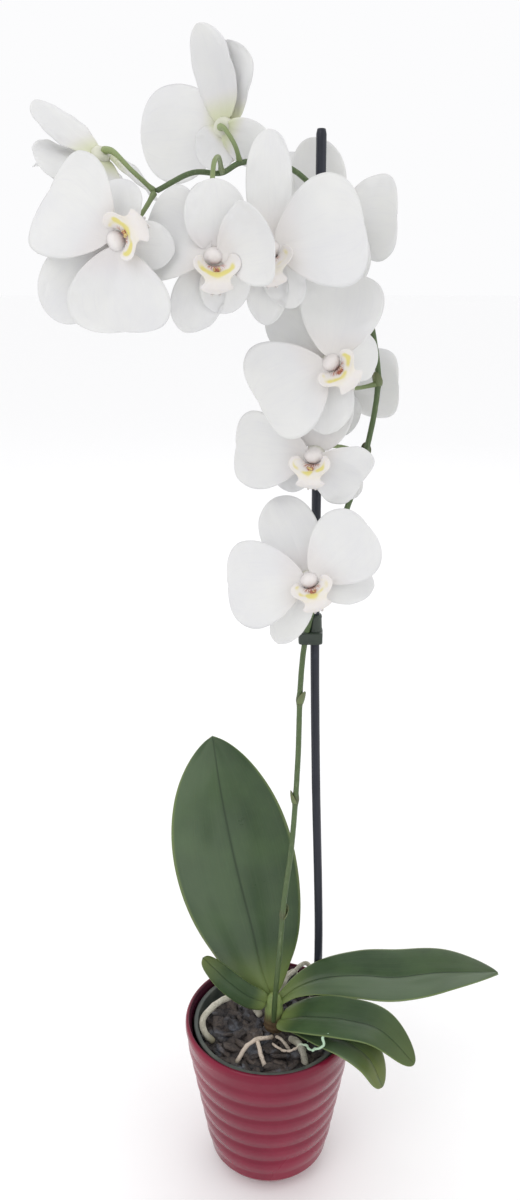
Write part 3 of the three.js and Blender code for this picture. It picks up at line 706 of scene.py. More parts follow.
def potTree():
    kinds = {title: type(value) for title, value in pot.items()}
    tree, _, size = newTree("ribbedPot", kinds | {"Material": "Material"})
    height, foot, belly = size["Height"], size["Foot radius"], size["Belly radius"]
    footHeight, rim, collar = size["Foot height"], size["Rim radius"], size["Collar radius"]
    shoulder = height - size["Collar height"]

    def ring(rows, profile, inner=0.0):  # a grid bent round the axis
        grid = addNode(tree, "GeometryNodeMeshGrid", {"Vertices X": size["Sides"], "Vertices Y": rows})
        split = addNode(tree, "ShaderNodeSeparateXYZ", {"Vector": grid.outputs["UV Map"]})
        turn = Field(tree, split.outputs["X"]) * (2 * math.pi)
        radius, level, crest = profile(Field(tree, split.outputs["Y"]))
        geometry = keepValue(tree, grid.outputs["Mesh"], "crest", crest)
        geometry = keepValue(tree, geometry, "inner", inner)
        scaled = radius * mm
        place = combine(tree, scaled * turn.math("COSINE"), scaled * turn.math("SINE"), level * mm)
        return addNode(tree, "GeometryNodeSetPosition", {"Geometry": geometry, "Position": place}).outputs[0]

    def outside(share):
        level = share.math("POWER", 1.6) * height  # rows stand closer near the foot
        # The foot rises by 0.75 and 0.25 times its run and the run's square, solved here for the run.
        footCurve = ((level / footHeight).math("MINIMUM", 1.0) + 0.5625).math("SQRT") * 2 - 1.5
        flare = (collar - belly) / (shoulder - footHeight)
        wall = foot + (belly - foot) * footCurve + (level - footHeight).math("MAXIMUM", 0.0) * flare
        turnOf = (level - size["Rib start"]) / (shoulder - size["Rib start"]) * size["Ribs"]
        wave = (turnOf * math.pi).math("SINE").math("ABSOLUTE")
        within = turnOf.math("GREATER_THAN", 0.0) * (size["Ribs"] - turnOf).math("GREATER_THAN", 0.0)
        crest = wave.math("POWER", size["Rib sharpness"]) * within
        rimWay = (level - height + size["Rim depth"]).math("MAXIMUM", 0.0) / size["Rim depth"]
        rimCurve = ((rimWay * rimWay * -1 + 1).math("MAXIMUM", 0.0).math("SQRT") * -1 + 1) * size["Rim curve"]
        return wall.math("MINIMUM", rim) + crest * size["Rib bulge"] - rimCurve, level, crest

    def inside(share):
        level = height - share * (height - size["Floor"])
        top = rim - size["Rim curve"]
        drop = height - level
        bead = drop.between(0.0, size["Bead height"]) * (size["Wall"] - size["Rim curve"])
        straight = height - size["Floor"] - size["Bead height"] - size["Corner height"]
        slope = (rim - size["Wall"] - size["Inner foot radius"]) / straight
        fall = (drop - size["Bead height"]).math("MAXIMUM", 0.0)
        corner = (level - size["Floor"]).between(0.0, size["Corner height"], size["Corner reach"], 0.0)
        return top - bead - fall * slope - corner, level, share * 0.0

    def disc(share, level, outward):
        edge = outside(share * 0.0)[0] if outward else inside(share * 0.0 + 1.0)[0]
        return edge * (share if outward else share * -1 + 1), share * 0.0 + level, share * 0.0

    # The inside rings carry an inner value of 1, which the glaze paints darker as shade.
    rings = [
        ring(size["Disc rows"], lambda share: disc(share, 0.0, True)),
        ring(size["Rows"], outside),
        ring(size["Inner rows"], inside, 1.0),
        ring(size["Disc rows"], lambda share: disc(share, size["Floor"], False), 1.0),
    ]
    join = tree.nodes.new("GeometryNodeJoinGeometry")
    for geometry in rings:
        tree.links.new(geometry, join.inputs[0])
    seams = {"Geometry": join.outputs[0], "Distance": 0.02 * mm}
    closed = addNode(tree, "GeometryNodeMergeByDistance", seams)
    endTree(tree, closed.outputs[0], size["Material"])
    return tree


potPiece = grow("pot_glazed", potTree(), pot | {"Material": finishes["glazed_ceramic"]})
dress(potPiece, "glazed_ceramic", "pot")
print("pot made")


growPot = {  # the thin nursery pot inside the glazed one
    "rim": 58.5, "base": 33.0, "top": 127.5, "wall": 1.2, "lip": 2.2, "foot": 6.3, "sides": 120,
}


def buildGrowPot():
    rim, base, top, wall, foot = (growPot[key] for key in ("rim", "base", "top", "wall", "foot"))
    body = rim - growPot["lip"]
    profile = [
        (0, foot), (base, foot), (base + 3, foot + 5), (body - 1.5, top - 22), (body, top - 3),
        (rim, top - 2.6), (rim, top), (body - wall, top), (body - 1.5 - wall, top - 22),
        (base + 3 - wall, foot + 5), (base - wall, foot + wall), (0, foot + wall),
    ]
    shape = Shape()
    shape.add(*turned(rounded(profile), growPot["sides"]))
    return dress(shape.piece("grow_pot_thin", finishes["grow_pot_plastic"]), "grow_pot_plastic", "grow_pot")


bed = {
    "top": 118.0, "edge": 112.5, "reach": 54.0, "foot": 8.0, "base": 33.2, "rough": 2.2, "rings": 26,
    "sides": 96,
}
chipKinds = 8  # how many different flakes are scattered
chips = {
    "Reach": 50.5,
    "Spacing": 4.6,
    "Density": 90000.0,
    "Level": 118.2,
    "Drop": 4.6,
    "Smallest": 0.7,
    "Largest": 1.45,
    "Tilt": 0.62,
    "Seed": 7,
}


def buildBed():
    shape = Shape()
    profile = [(0, bed["foot"]), (bed["base"], bed["foot"]), (bed["reach"] - 2.5, bed["edge"] - 10)]
    for step in range(bed["rings"], 0, -1):
        share = step / bed["rings"]
        level = bed["top"] - (bed["top"] - bed["edge"]) * share ** 2
        profile.append((bed["reach"] * share, level))
    profile.append((0, bed["top"]))
    places, faces = turned(profile, bed["sides"])
    for place in places:
        if place.z > bed["edge"] - 1:  # the top alone is rough
            place.z += bed["rough"] * (noise.noise(place * 0.16) + 0.5 * noise.noise(place * 0.45))
    shape.add(places, faces, tone=0.2)
    return shape.piece("bark_bed", finishes["bark"])


def chipMesh(seed):  # one irregular flake of bark, about 12 mm long
    draw = random.Random(seed)
    size = Vector((draw.uniform(5.0, 8.5), draw.uniform(3.0, 5.0), draw.uniform(1.0, 2.0)))
    levels = [-1.0, -0.35, 0.4, 1.0]
    sides = 8
    places = []
    for x in levels:
        for k in range(sides):
            angle = 2 * math.pi * k / sides
            shrink = 1 - 0.35 * abs(x) ** 3
            y = squareOff(math.cos(angle), 0.6) * shrink
            z = squareOff(math.sin(angle), 0.7) * shrink
            jitter = Vector([draw.uniform(-0.16, 0.16) for _ in range(3)])
            places.append((Vector((x, y, z)) + jitter) * size)
    shape = Shape()
    shape.add(places, [face[::-1] for face in cappedFaces(len(levels), sides)])
    return shape.piece(f"chip{seed}", finishes["bark"])


def chipTree():
    kinds = {title: type(value) for title, value in chips.items()}
    tree, _, size = newTree("scatteredChips", kinds | {"Chips": "Collection", "Material": "Material"})
    circle = {"Vertices": 64, "Radius": size["Reach"] * mm}
    disc = addNode(tree, "GeometryNodeMeshCircle", circle, fill_type="NGON")
    scatter = addNode(
        tree, "GeometryNodeDistributePointsOnFaces",
        {"Mesh": disc.outputs[0], "Distance Min": size["Spacing"] * mm, "Density Max": size["Density"],
         "Seed": size["Seed"]}, distribute_method="POISSON")
    spot = addNode(tree, "GeometryNodeInputPosition").outputs[0]
    away = Field(tree, addNode(tree, "ShaderNodeVectorMath", {0: spot}, operation="LENGTH").outputs["Value"])
    share = away / (size["Reach"] * mm)
    level = (size["Level"] - share * share * size["Drop"]) * mm
    lift = addNode(tree, "GeometryNodeSetPosition",
                   {"Geometry": scatter.outputs["Points"], "Offset": combine(tree, 0.0, 0.0, level)})

    def chance(low, high, step):  # a repeatable draw for each point
        node = addNode(tree, "FunctionNodeRandomValue", data_type="FLOAT")
        for index, value in ((2, low), (3, high), (8, size["Seed"] + step)):
            feed(tree, node.inputs[index], value)
        return Field(tree, node.outputs[1])

    tilt = size["Tilt"]
    turn = combine(tree, chance(tilt * -1, tilt, 1), chance(tilt * -1, tilt, 2), chance(0.0, 6.28, 3))
    flakes = addNode(
        tree, "GeometryNodeCollectionInfo",
        {"Collection": size["Chips"], "Separate Children": True, "Reset Children": True})
    swell = chance(size["Smallest"], size["Largest"], 4)
    rotation = addNode(tree, "FunctionNodeEulerToRotation", {"Euler": turn}).outputs[0]
    placed = addNode(
        tree, "GeometryNodeInstanceOnPoints",
        {"Points": lift.outputs[0], "Instance": flakes.outputs[0], "Pick Instance": True,
         "Rotation": rotation, "Scale": combine(tree, swell, swell, swell)})
    toned = keepValue(tree, placed.outputs[0], "tone", chance(0.0, 1.0, 5), "INSTANCE")
    endTree(tree, toned, size["Material"])
    return tree


def buildBark():
    sources = bpy.data.collections.new("chipSources")
    for seed in range(chipKinds):
        chip = chipMesh(seed)
        scene.collection.objects.unlink(chip)
        sources.objects.link(chip)
    values = chips | {"Chips": sources, "Material": finishes["bark"]}
    scattered = grow("bark_chips", chipTree(), values)
    for chip in list(sources.objects):
        bpy.data.objects.remove(chip)
    bpy.data.collections.remove(sources)
    dress(scattered, "bark")
    dress(buildBed(), "bark", "bark")
    return scattered


buildGrowPot()
barkChipsPiece = buildBark()
print("grow pot and bark made:", len(barkChipsPiece.data.polygons), "chip faces")


def rodTree():  # a rod along a path, for the flower stem, stalks, roots and stake
    inputs = {"Sides": int, "Roughness": float, "Grain": float, "Seed": int, "Material": "Material"}
    tree, geometry, size = newTree("rodAlongPath", inputs)
    ring = addNode(tree, "GeometryNodeCurvePrimitiveCircle", {"Resolution": size["Sides"], "Radius": 1.0})
    radius = addNode(tree, "GeometryNodeInputRadius").outputs[0]
    tube = addNode(tree, "GeometryNodeCurveToMesh",
                   {"Curve": geometry, "Profile Curve": ring.outputs[0], "Scale": radius, "Fill Caps": True})
    spot = addNode(tree, "GeometryNodeInputPosition").outputs[0]
    bumps = addNode(tree, "ShaderNodeTexNoise",
                    {"Vector": spot, "W": size["Seed"] * 1.0, "Scale": size["Grain"], "Detail": 3.0},
                    noise_dimensions="4D")
    height = (Field(tree, bumps.outputs[0]) - 0.5) * size["Roughness"] * mm
    normal = addNode(tree, "GeometryNodeInputNormal").outputs[0]
    offset = addNode(tree, "ShaderNodeVectorMath", {0: normal, "Scale": height}, operation="SCALE").outputs[0]
    moved = addNode(tree, "GeometryNodeSetPosition", {"Geometry": tube.outputs[0], "Offset": offset})
    endTree(tree, moved.outputs[0], size["Material"])
    return tree


rodNodes = rodTree()


def rods(name, runs, slot, sides, roughness, grainScale, seed, nodes=()):
    # Each run is a list of (place, radius, values) along one rod, with the same named values throughout.
    curve = bpy.data.curves.new(name + "Path", "CURVE")
    curve.dimensions = "3D"
    for run in runs:
        spline = curve.splines.new("POLY")
        spline.points.add(len(run) - 1)
        for point, (place, radius, _) in zip(spline.points, run):
            point.co = (*(place * mm), 1)
            point.radius = radius * mm
    values = {"Sides": sides, "Roughness": roughness, "Grain": grainScale, "Seed": seed,
              "Material": finishes[slot]}
    piece = grow(name, rodNodes, values, curve)
    bpy.data.curves.remove(curve)
    flat = [given for run in runs for _, _, given in run]
    for title in flat[0]:
        held = [given[title] for given in flat for _ in range(sides)]
        piece.data.attributes.new(title, "FLOAT", "POINT").data.foreach_set("value", held)
    return dress(piece, slot, *nodes)


def roundEnds(share, length, radius):  # shrinks a rod's radius over its last millimetres
    reach = min(share, 1 - share) * length
    if reach >= radius:
        return 1.0
    return max(math.sqrt(max(0.0, 1 - (1 - reach / radius) ** 2)), 0.05)


# Where each bloom sits, which way it looks and where its petals and sepals differ from the plain ones.
# A stalk runs from the stem through the listed places to the bloom's back.
bloomList = [
    {
        "seat": (24, -32, 496), "yaw": 0, "pitch": 12, "roll": 17, "size": 0.99,
        "dorsal": {"turn": 95, "length": 57, "half": 19, "lean": -10},
        "leftPetal": {"turn": 168, "length": 50.5, "half": 29},
        "rightPetal": {"turn": 25, "length": 49.5, "half": 25, "point": 0.5},
        "leftSepal": {"turn": 229, "length": 49, "half": 12, "lean": -8},
        "rightSepal": {"turn": 336, "length": 43, "half": 13.5},
        "stalk": [(36, 18.5, 482), (33, 8, 493), (27, -10, 499)],
    },
    {
        "seat": (27, -18, 573), "yaw": 18, "pitch": 2, "roll": 2, "size": 0.97,
        "dorsal": {"turn": 77, "length": 46, "half": 18, "lean": -6},
        "leftPetal": {"turn": 176, "length": 54, "half": 26},
        "rightPetal": {"turn": -34, "length": 36, "half": 21.5, "lean": -15},
        "leftSepal": {"turn": 206, "length": 36, "lean": -5},
        "rightSepal": {"turn": 307, "length": 42, "half": 14.5, "lean": -20},
        "stalk": [(62.6, 20, 566), (50, 20, 571), (36, 8, 574)],
    },
    {
        "seat": (35, -34, 631), "yaw": 4, "pitch": 2, "roll": 48, "size": 0.96,
        "leftPetal": {"turn": 161, "length": 50, "half": 32},
        "rightPetal": {"turn": 33, "half": 26},
        "leftSepal": {"turn": 218, "length": 44, "lean": 0},
        "rightSepal": {"turn": 320, "length": 46, "half": 15, "lean": -40},
        "stalk": [(69.3, 18, 613), (57, 12, 611), (44, -6, 614)],
    },
    {
        "seat": (40, 58, 606), "yaw": 200, "pitch": 0, "roll": 8, "size": 0.95,
        "leftPetal": {"half": 25},
        "leftSepal": {"turn": 234, "length": 34, "lean": 0},
        "stalk": [(68.4, 15.6, 630), (62, 30, 626), (48, 44, 614)],
    },
    {
        "seat": (-1, -52, 694), "yaw": 8, "pitch": 0, "roll": 5, "size": 0.98,
        "dorsal": {"turn": 88, "length": 63, "half": 13},
        "rightPetal": {"turn": 9, "length": 52, "half": 31},
        "leftSepal": {"turn": 258, "length": 42, "half": 12},
        "rightSepal": {"turn": 288, "length": 34, "half": 12, "lean": -6},
        "stalk": [(47, 6, 691), (30, -10, 698), (10, -32, 702)],
    },
    {
        "seat": (38, 45, 714), "yaw": 200, "pitch": 0, "roll": 8, "size": 0.95,
        "dorsal": {"turn": 68},
        "leftPetal": {"turn": 172, "length": 45, "half": 28},
        "stalk": [(34, 3, 718), (41, 14, 722), (41, 30, 718)],
    },
    {
        "seat": (-32, -72, 690), "yaw": -12, "pitch": 0, "roll": 0, "size": 0.86,
        "dorsal": {"length": 42, "half": 19, "lean": 20},
        "leftPetal": {"turn": 156, "length": 46, "lean": -14},
        "rightPetal": {"turn": 18, "length": 44, "half": 26, "lean": 30, "bend": 18},
        "leftSepal": {"turn": 250, "length": 50, "lean": -6},
        "rightSepal": {"turn": 292, "length": 36},
        "lipSize": 1.1,
        "stalk": [(-29, -14, 736), (-30, -38, 742), (-32, -56, 736), (-33, -65, 714)],
    },
    {
        "seat": (-82, -84, 697), "yaw": 5, "pitch": 0, "roll": 117, "size": 0.93,
        "dorsal": {"turn": 103, "length": 61, "half": 20},
        "leftPetal": {"turn": 154, "length": 48},
        "rightPetal": {"turn": 28, "length": 45, "half": 31},
        "leftSepal": {"turn": 235, "length": 30, "half": 13, "lean": -4},
        "rightSepal": {"turn": 338, "length": 40, "half": 15, "lean": -25},
        "stalk": [(-65.5, -40, 724), (-71, -48, 714), (-79, -66, 701)],
    },
    {
        "seat": (-28, 11, 763), "yaw": 220, "pitch": 0, "roll": -8, "size": 0.95, "tint": 1.0,
        "dorsal": {"length": 56, "half": 16},
        "leftPetal": {"turn": 104, "length": 46, "half": 15.5, "rise": 4},
        "rightPetal": {"turn": 8, "length": 66},
        "leftSepal": {"turn": 218, "length": 38, "half": 13, "lean": 14, "bend": 6, "rise": -2.5},
        "rightSepal": {"turn": 318, "length": 24, "lean": 0},
        "lipSize": 0.85,
        "stalk": [(-18.6, -8, 741.8), (-21, -9, 750), (-27, -3, 760)],
    },
    {
        "seat": (-98, -20, 744), "yaw": 135, "pitch": -50, "roll": -28, "size": 0.95, "tint": 1.0,
        "dorsal": {"length": 47, "bend": 0},
        "leftPetal": {"turn": 130, "length": 36, "lean": 40, "bend": 0},
        "rightPetal": {"turn": 50, "length": 36, "half": 20, "lean": 10, "bend": 0},
        "leftSepal": {"turn": 224, "half": 12, "lean": 12, "bend": 14, "rise": -2.5},
        "rightSepal": {"turn": 316, "half": 12, "lean": 12, "bend": 14, "rise": -2.5},
        "lipSize": 0.7,
        "stalk": [(-65.5, -40, 724), (-78, -38, 735), (-90, -28, 746)],
    },
]


def bloomFrame(bloom):  # the turn and place of a bloom: it looks along its own +Z, with +Y up
    y, p, r = (math.radians(bloom[key]) for key in ("yaw", "pitch", "roll"))
    ahead = Vector((-math.sin(y) * math.cos(p), -math.cos(y) * math.cos(p), math.sin(p)))
    level = Vector((math.cos(y), -math.sin(y), 0))
    upright = ahead.cross(level)
    right = level * math.cos(r) + upright * math.sin(r)
    up = upright * math.cos(r) - level * math.sin(r)
    turn = Matrix((right, up, ahead)).transposed().to_4x4()
    return Matrix.Translation(bloom["seat"]) @ turn


stem = {
    "path": [
        (3.5, -5.5, 128), (4.5, -6, 151), (7.8, -6, 194), (11, -4, 239), (16.2, -1, 283), (20.2, 6, 349),
        (21.8, 14, 407), (25.2, 21, 437), (36, 18.5, 482), (50, 20, 525), (62.6, 20, 566), (69.3, 18, 613),
        (65.5, 14, 640), (54, 8, 680), (47, 6, 691), (34, 3, 718), (14, 0, 738), (-3, -4, 743),
        (-18.6, -8, 741.8), (-29, -14, 736), (-45, -27, 735), (-65.5, -40, 724),
    ],
    "radius": 2.0,
    "tipRadius": 1.5,
    "stalkRadius": 1.35,
    "jointHeights": (226, 318, 392, 566, 613, 691),
    "jointSwell": 0.75,
    "jointReach": 3.2,
    "points": 420,
    "stalkPoints": 48,
    "stalkEnd": 6.0,
    "budRadius": 2.3,
}


def jointShares(path):
    shares = []
    for height in stem["jointHeights"]:
        share = 0.0
        while path.at(share).z < height:
            share += 0.0025
        shares.append(share)
    return shares


def stemRun(path, joints):
    length = path.lengths[-1]
    run = []
    for k in range(stem["points"] + 1):
        share = k / stem["points"]
        near = sum(hump((share - joint) * length, 0, stem["jointReach"]) for joint in joints)
        radius = stem["radius"] + (stem["tipRadius"] - stem["radius"]) * max(0.0, share - 0.5) * 2
        radius = (radius + stem["jointSwell"] * near) * roundEnds(share, length, 2.0)
        run.append((path.at(share), radius, {"joint": min(near, 1.0), "stalk": 0.0}))
    return run


def stalkRun(bloom):  # from the stem to the bloom's back, swelling at both ends
    back = bloomFrame(bloom) @ Vector((0, 0, -(stem["stalkEnd"] - 1.5) * bloom["size"]))
    path = Path([*bloom["stalk"], back])
    run = []
    for k in range(stem["stalkPoints"] + 1):
        share = k / stem["stalkPoints"]
        swell = 0.6 * hump(share, 0, 0.08)
        bud = (stem["budRadius"] - stem["stalkRadius"]) * max(0.0, (share - 0.55) / 0.45) ** 1.5
        radius = (stem["stalkRadius"] + swell + bud) * roundEnds(share, path.lengths[-1], 1.4)
        run.append((path.at(share), radius, {"joint": 0.0, "stalk": 0.35 + 0.65 * share}))
    return run


def buildStem(path, joints):
    runs = [stemRun(path, joints)] + [stalkRun(bloom) for bloom in bloomList]
    rods("flower_stem_fine", runs, "stem", sides=16, roughness=0.35, grainScale=260.0, seed=3,
         nodes=["flower_stem"])


bract = {"wrap": 1.9, "radius": 2.55, "bulge": 1.0, "flare": 0.9, "length": 9.5, "start": -2.5, "wall": 0.5}


def buildBracts(path, joints):  # a small pointed sheath at each joint of the stem
    shape = Shape()
    for number, share in enumerate(joints):
        middle = path.at(share)
        ahead = path.direction(share)
        aside = ahead.orthogonal().normalized()
        aside.rotate(Matrix.Rotation(2.4 * number, 3, ahead))
        other = ahead.cross(aside)

        def surface(u, v):
            angle = (v - 0.5) * 2 * bract["wrap"] * (1 - u) ** 0.6
            reach = bract["radius"] + bract["bulge"] * math.sin(0.8 * math.pi * u) + bract["flare"] * u ** 2
            around = aside * math.cos(angle) + other * math.sin(angle)
            return middle + ahead * (bract["start"] + bract["length"] * u) + around * reach

        places, faces, values = slab(surface, lambda u, v: bract["wall"] * (1 - 0.5 * u), 12, 10)
        shape.add(places, faces, joint=[0.35 + 0.5 * u for u in values["along"]], stalk=0.4)
    dress(shape.piece("stem_bracts", finishes["stem"]), "stem")


stemPath = Path(stem["path"])
stemJoints = jointShares(stemPath)
buildStem(stemPath, stemJoints)
buildBracts(stemPath, stemJoints)
print("stem made")

rootMake = {"points": 120, "sides": 14, "grain": 330.0}
rootList = [
    {
        "name": "root_1", "radius": 2.5, "rough": 0.9,
        "paths": [[(-6, 6, 124), (-17, 14, 133), (-28, 14, 137), (-42, 6, 135), (-51, -4, 131),
                   (-50, -11, 124), (-42, -14, 117)]],
    },
    {
        "name": "root_2", "radius": 1.6, "warm": 1.0, "rough": 0.8,
        "paths": [[(3, -9, 118), (-1, -17, 124), (-9, -21, 126.5), (-17, -27, 125), (-25, -34, 116)],
                  [(-9, -22, 126), (-7, -31, 123.5), (-1, -42, 113)]],
    },
    {
        "name": "root_3", "radius": 2.7, "rough": 0.8,
        "paths": [[(16, -14, 121), (23, -25, 125), (28, -34, 113)]],
    },
    {
        "name": "root_4", "radius": 1.2, "warm": 0.8, "rough": 0.8,
        "paths": [[(5, -12, 121), (10, -20, 124.5), (18, -24, 114)]],
    },
    {
        "name": "root_5", "radius": 1.1, "green": 1.0, "rough": 1.5,
        "paths": [[(30, -16, 113), (31, -19, 127), (34, -24, 128), (42, -23, 129), (45, -18, 130),
                   (48, -12, 114)]],
    },
    {
        "name": "root_6", "radius": 1.8, "rough": 0.8,
        "paths": [[(6, 8, 124), (12, 26, 139), (22, 38, 143), (31, 43, 145), (36, 39, 134), (34, 33, 112)]],
    },
    {
        "name": "root_7", "radius": 1.5, "rough": 0.8,
        "paths": [[(3, 9, 128), (8, 28, 136), (16, 42, 136), (22, 46, 135), (25, 42, 112)]],
    },
]


def buildRoot(number, root):
    runs = []
    for points in root["paths"]:
        path = Path(points)
        run = []
        for k in range(rootMake["points"] + 1):
            share = k / rootMake["points"]
            thick = root["radius"] * (1 + 0.14 * noise.noise(Vector((share * 9, number * 3.1, 0))))
            thick *= roundEnds(share, path.lengths[-1], root["radius"])
            sway = noise.noise_vector(Vector((share * 11, number * 5.7, 2))) * root["rough"] * 0.5
            values = {"warm": root.get("warm", 0.0), "green": root.get("green", 0.0),
                      "tip": max(0.0, (share - 0.9) * 8)}
            run.append((path.at(share) + sway, thick, values))
        runs.append(run)
    rods(root["name"] + "_fine", runs, "root", sides=rootMake["sides"], roughness=root["rough"],
         grainScale=rootMake["grain"], seed=number, nodes=[root["name"]])


for number, root in enumerate(rootList):
    buildRoot(number, root)

wornRoot = {  # a thin crinkled root that creeps over the foot of leaf_e, pale brown at first and then mint
    "path": [(3, -20, 121), (8, -27, 123), (13, -31, 126), (18, -33, 128), (22, -37, 134), (27, -40, 138),
             (30, -46, 139), (35, -48, 143), (39, -50, 148), (40, -47, 152), (44, -47, 154)],
    "radius": 0.9,
    "crinkle": 1.5,
    "points": 160,
}


def buildWornRoot():
    path = Path(wornRoot["path"])
    run = []
    for k in range(wornRoot["points"] + 1):
        share = k / wornRoot["points"]
        sway = noise.noise_vector(Vector((share * 16, 3.3, 8))) * wornRoot["crinkle"]
        thick = wornRoot["radius"] * (1 + 0.4 * noise.noise(Vector((share * 24, 7.1, 0))))
        mint = clamp((share - 0.4) * 6)
        values = {"warm": 1 - mint, "green": mint, "tip": 0.0}
        run.append((path.at(share) + sway, thick * roundEnds(share, path.lengths[-1], 1.0), values))
    rods("worn_root", [run], "root", sides=10, roughness=0.9, grainScale=420.0, seed=9)


buildWornRoot()
print("roots made:", len(rootList) + 1)

stake = {
    "path": [(37.8, 23.4, 76), (39.1, 25, 181), (34.4, 25.5, 330), (32, 25.5, 432), (31.2, 25, 535),
             (30.3, 25, 764)],
    "radius": 3.2,
    "points": 240,
}


def buildStake():
    path = Path(stake["path"])
    run = []
    for k in range(stake["points"] + 1):
        share = k / stake["points"]
        edge = roundEnds(share, path.lengths[-1], 0.6)
        run.append((path.at(share), stake["radius"] * (0.8 + 0.2 * edge), {}))
    top, radius, _ = run[-1]
    run.append((top + Vector((0, 0, 0.3)), radius * 0.75, {}))  # a small bevel at the top
    rods("stake_rod", [run], "stake", sides=28, roughness=0.12, grainScale=90.0, seed=5, nodes=["stake"])


buildStake()

clip = {  # a block round the stem and a sleeve on the stake
    "centre": (28.6, 23.4), "bottom": 432.0, "shoulder": 441.0, "top": 453.0, "width": 17.0, "depth": 12.0,
    "sleeve": (31.9, 25.5), "bevel": 1.6, "waist": 1.3, "squareness": 0.35, "rows": 16, "sides": 48,
}


def buildClip():
    shape = Shape()
    rows, sides = clip["rows"], clip["sides"]
    height = clip["shoulder"] - clip["bottom"]
    places = []
    for i in range(rows + 1):
        share = i / rows
        pinch = clip["waist"] * math.sin(math.pi * share)
        soft = clip["bevel"] * (1 - math.sqrt(max(0.0, 1 - max(0.0, abs(2 * share - 1) * 4 - 3) ** 2)))
        for k in range(sides):
            angle = 2 * math.pi * k / sides
            x = squareOff(math.cos(angle), clip["squareness"]) * (clip["width"] / 2 - soft)
            y = squareOff(math.sin(angle), clip["squareness"]) * (clip["depth"] / 2 - soft)
            y *= 1 - pinch / clip["depth"] * (1 - (2 * x / clip["width"]) ** 2) * 2
            level = clip["bottom"] + height * share
            places.append(Vector((clip["centre"][0] + x, clip["centre"][1] + y, level)))
    shape.add(places, cappedFaces(rows + 1, sides))
    foot, shoulder, top = clip["bottom"] + 2, clip["shoulder"], clip["top"]
    sleeve = [(0, foot), (5.6, foot), (5.5, shoulder), (4.9, shoulder + 2), (4.6, top - 3), (4.9, top - 2),
              (4.3, top), (0, top)]
    places, faces = turned(rounded(sleeve), 40)
    shape.add([place + Vector((*clip["sleeve"], 0)) for place in places], faces)
    dress(shape.piece("clip_moulded", finishes["clip"]), "clip", "clip")


buildClip()
print("stake and clip made")


crown = {"x": 4.0, "y": 0.0, "radius": 6.6, "foot": 104.0, "top": 151.0, "rings": 60, "sides": 48}


def buildCrown():
    radius, foot, top = crown["radius"], crown["foot"], crown["top"]
    profile = [
        (0, foot), (radius, foot), (radius + 1, 116), (radius + 1.2, 124), (radius + 0.6, 130),
        (radius + 0.3, 136), (radius - 0.6, 141), (radius - 1, 145), (radius - 2.6, 149), (2, top), (0, top),
    ]
    smooth = Path([(r, 0, z) for r, z in profile], 200)
    inner = [smooth.at(k / crown["rings"]) for k in range(1, crown["rings"])]
    rings = [(0, foot)] + [(place.x, place.z) for place in inner] + [(0, top)]

    def wobble(angle, height):  # old leaf scars at the foot, and ridges above them
        scar = 0.35 * math.sin(height * 1.5 + 0.8 * math.sin(angle))
        ridge = 0.5 * math.cos(2 * angle + 0.6) * clamp((height - 124) / 12)
        return scar * clamp((132 - height) / 8) + ridge

    places, faces = turned(rings, crown["sides"], wobble)
    shape = Shape()
    shape.add([place + Vector((crown["x"], crown["y"], 0)) for place in places], faces)
    dress(shape.piece("crown_fine", finishes["crown"]), "crown", "crown")


# Half is the blade's half width, fold lifts both halves, and across is the way that the blade lies at its
# foot, with acrossTip at its tip. A leaf that is turned over has its upper side the other way round. The
# blade's paler part is a painted sheen, its strength given per leaf; its side value goes from -1 to 1 for the
# half that gets more of it, and is 0 for both alike.
leafList = [
    {
        "name": "leaf_a", "half": 47.4, "fold": 13, "across": (0.98, 0.12, 0.16),
        "swell": 0.76, "point": 0.72,
        "rib": [(2, 6, 143), (-5, 9, 163), (-12, 15, 194), (-24.5, 24, 245), (-35, 30, 300),
                (-42.5, 35, 353)],
        "wave": 1.2, "ripe": 0.0, "pale": 0.62, "paleSide": -0.05, "turnedOver": True,
    },
    {
        "name": "leaf_b", "half": 8.5, "fold": 20, "across": (0.5, 0.55, 0.65), "swell": 0.5, "point": 0.4,
        "rib": [(-2, -2, 144), (-15, -6, 153), (-30, -10, 169), (-41, -13, 184), (-49, -15, 195)],
        "wave": 0.3, "ripe": 0.7, "pale": 0.3, "turnedOver": True,
    },
    {
        "name": "leaf_c", "half": 26, "fold": 6, "across": (0.05, 0.9, 0.45), "acrossTip": (0.05, 1, -0.1),
        "swell": 1.2, "point": 0.75,
        "rib": [(8, 2, 143), (22, 5, 153), (40, 6, 160), (70, 3, 165), (97, -2, 168), (136, -5, 175),
                (173, -10, 178)],
        "wave": 1.2, "ripe": 0.1, "pale": 0.55, "paleSide": -1,
    },
    {
        "name": "leaf_d", "half": 18, "fold": 8, "across": (0.45, 0.85, 0.22), "swell": 0.5, "point": 0.5,
        "rib": [(9, -8, 134), (30, -23, 149), (56, -35, 156.5), (80, -46, 157), (104, -60, 139)],
        "wave": 0.8, "ripe": 0.4, "pale": 0.15,
    },
    {
        "name": "leaf_e", "half": 15, "fold": 6, "across": (0.5, 0.85, 0.1), "swell": 1.1, "point": 0.5,
        "rib": [(9, -7, 129), (24, -20, 137), (40, -33, 142), (58, -45, 144), (72, -54, 138), (81, -63, 121)],
        "wave": 0.6, "ripe": 1.5, "pale": 0.9,
    },
]
leafMake = {"thickness": 2.4, "foot": 5.0, "crease": 1.1, "creaseWidth": 2.2, "rows": 90, "columns": 28}
lastShare = 0.9995  # how far along its rib a leaf or petal ends, so that its tip isn't a point


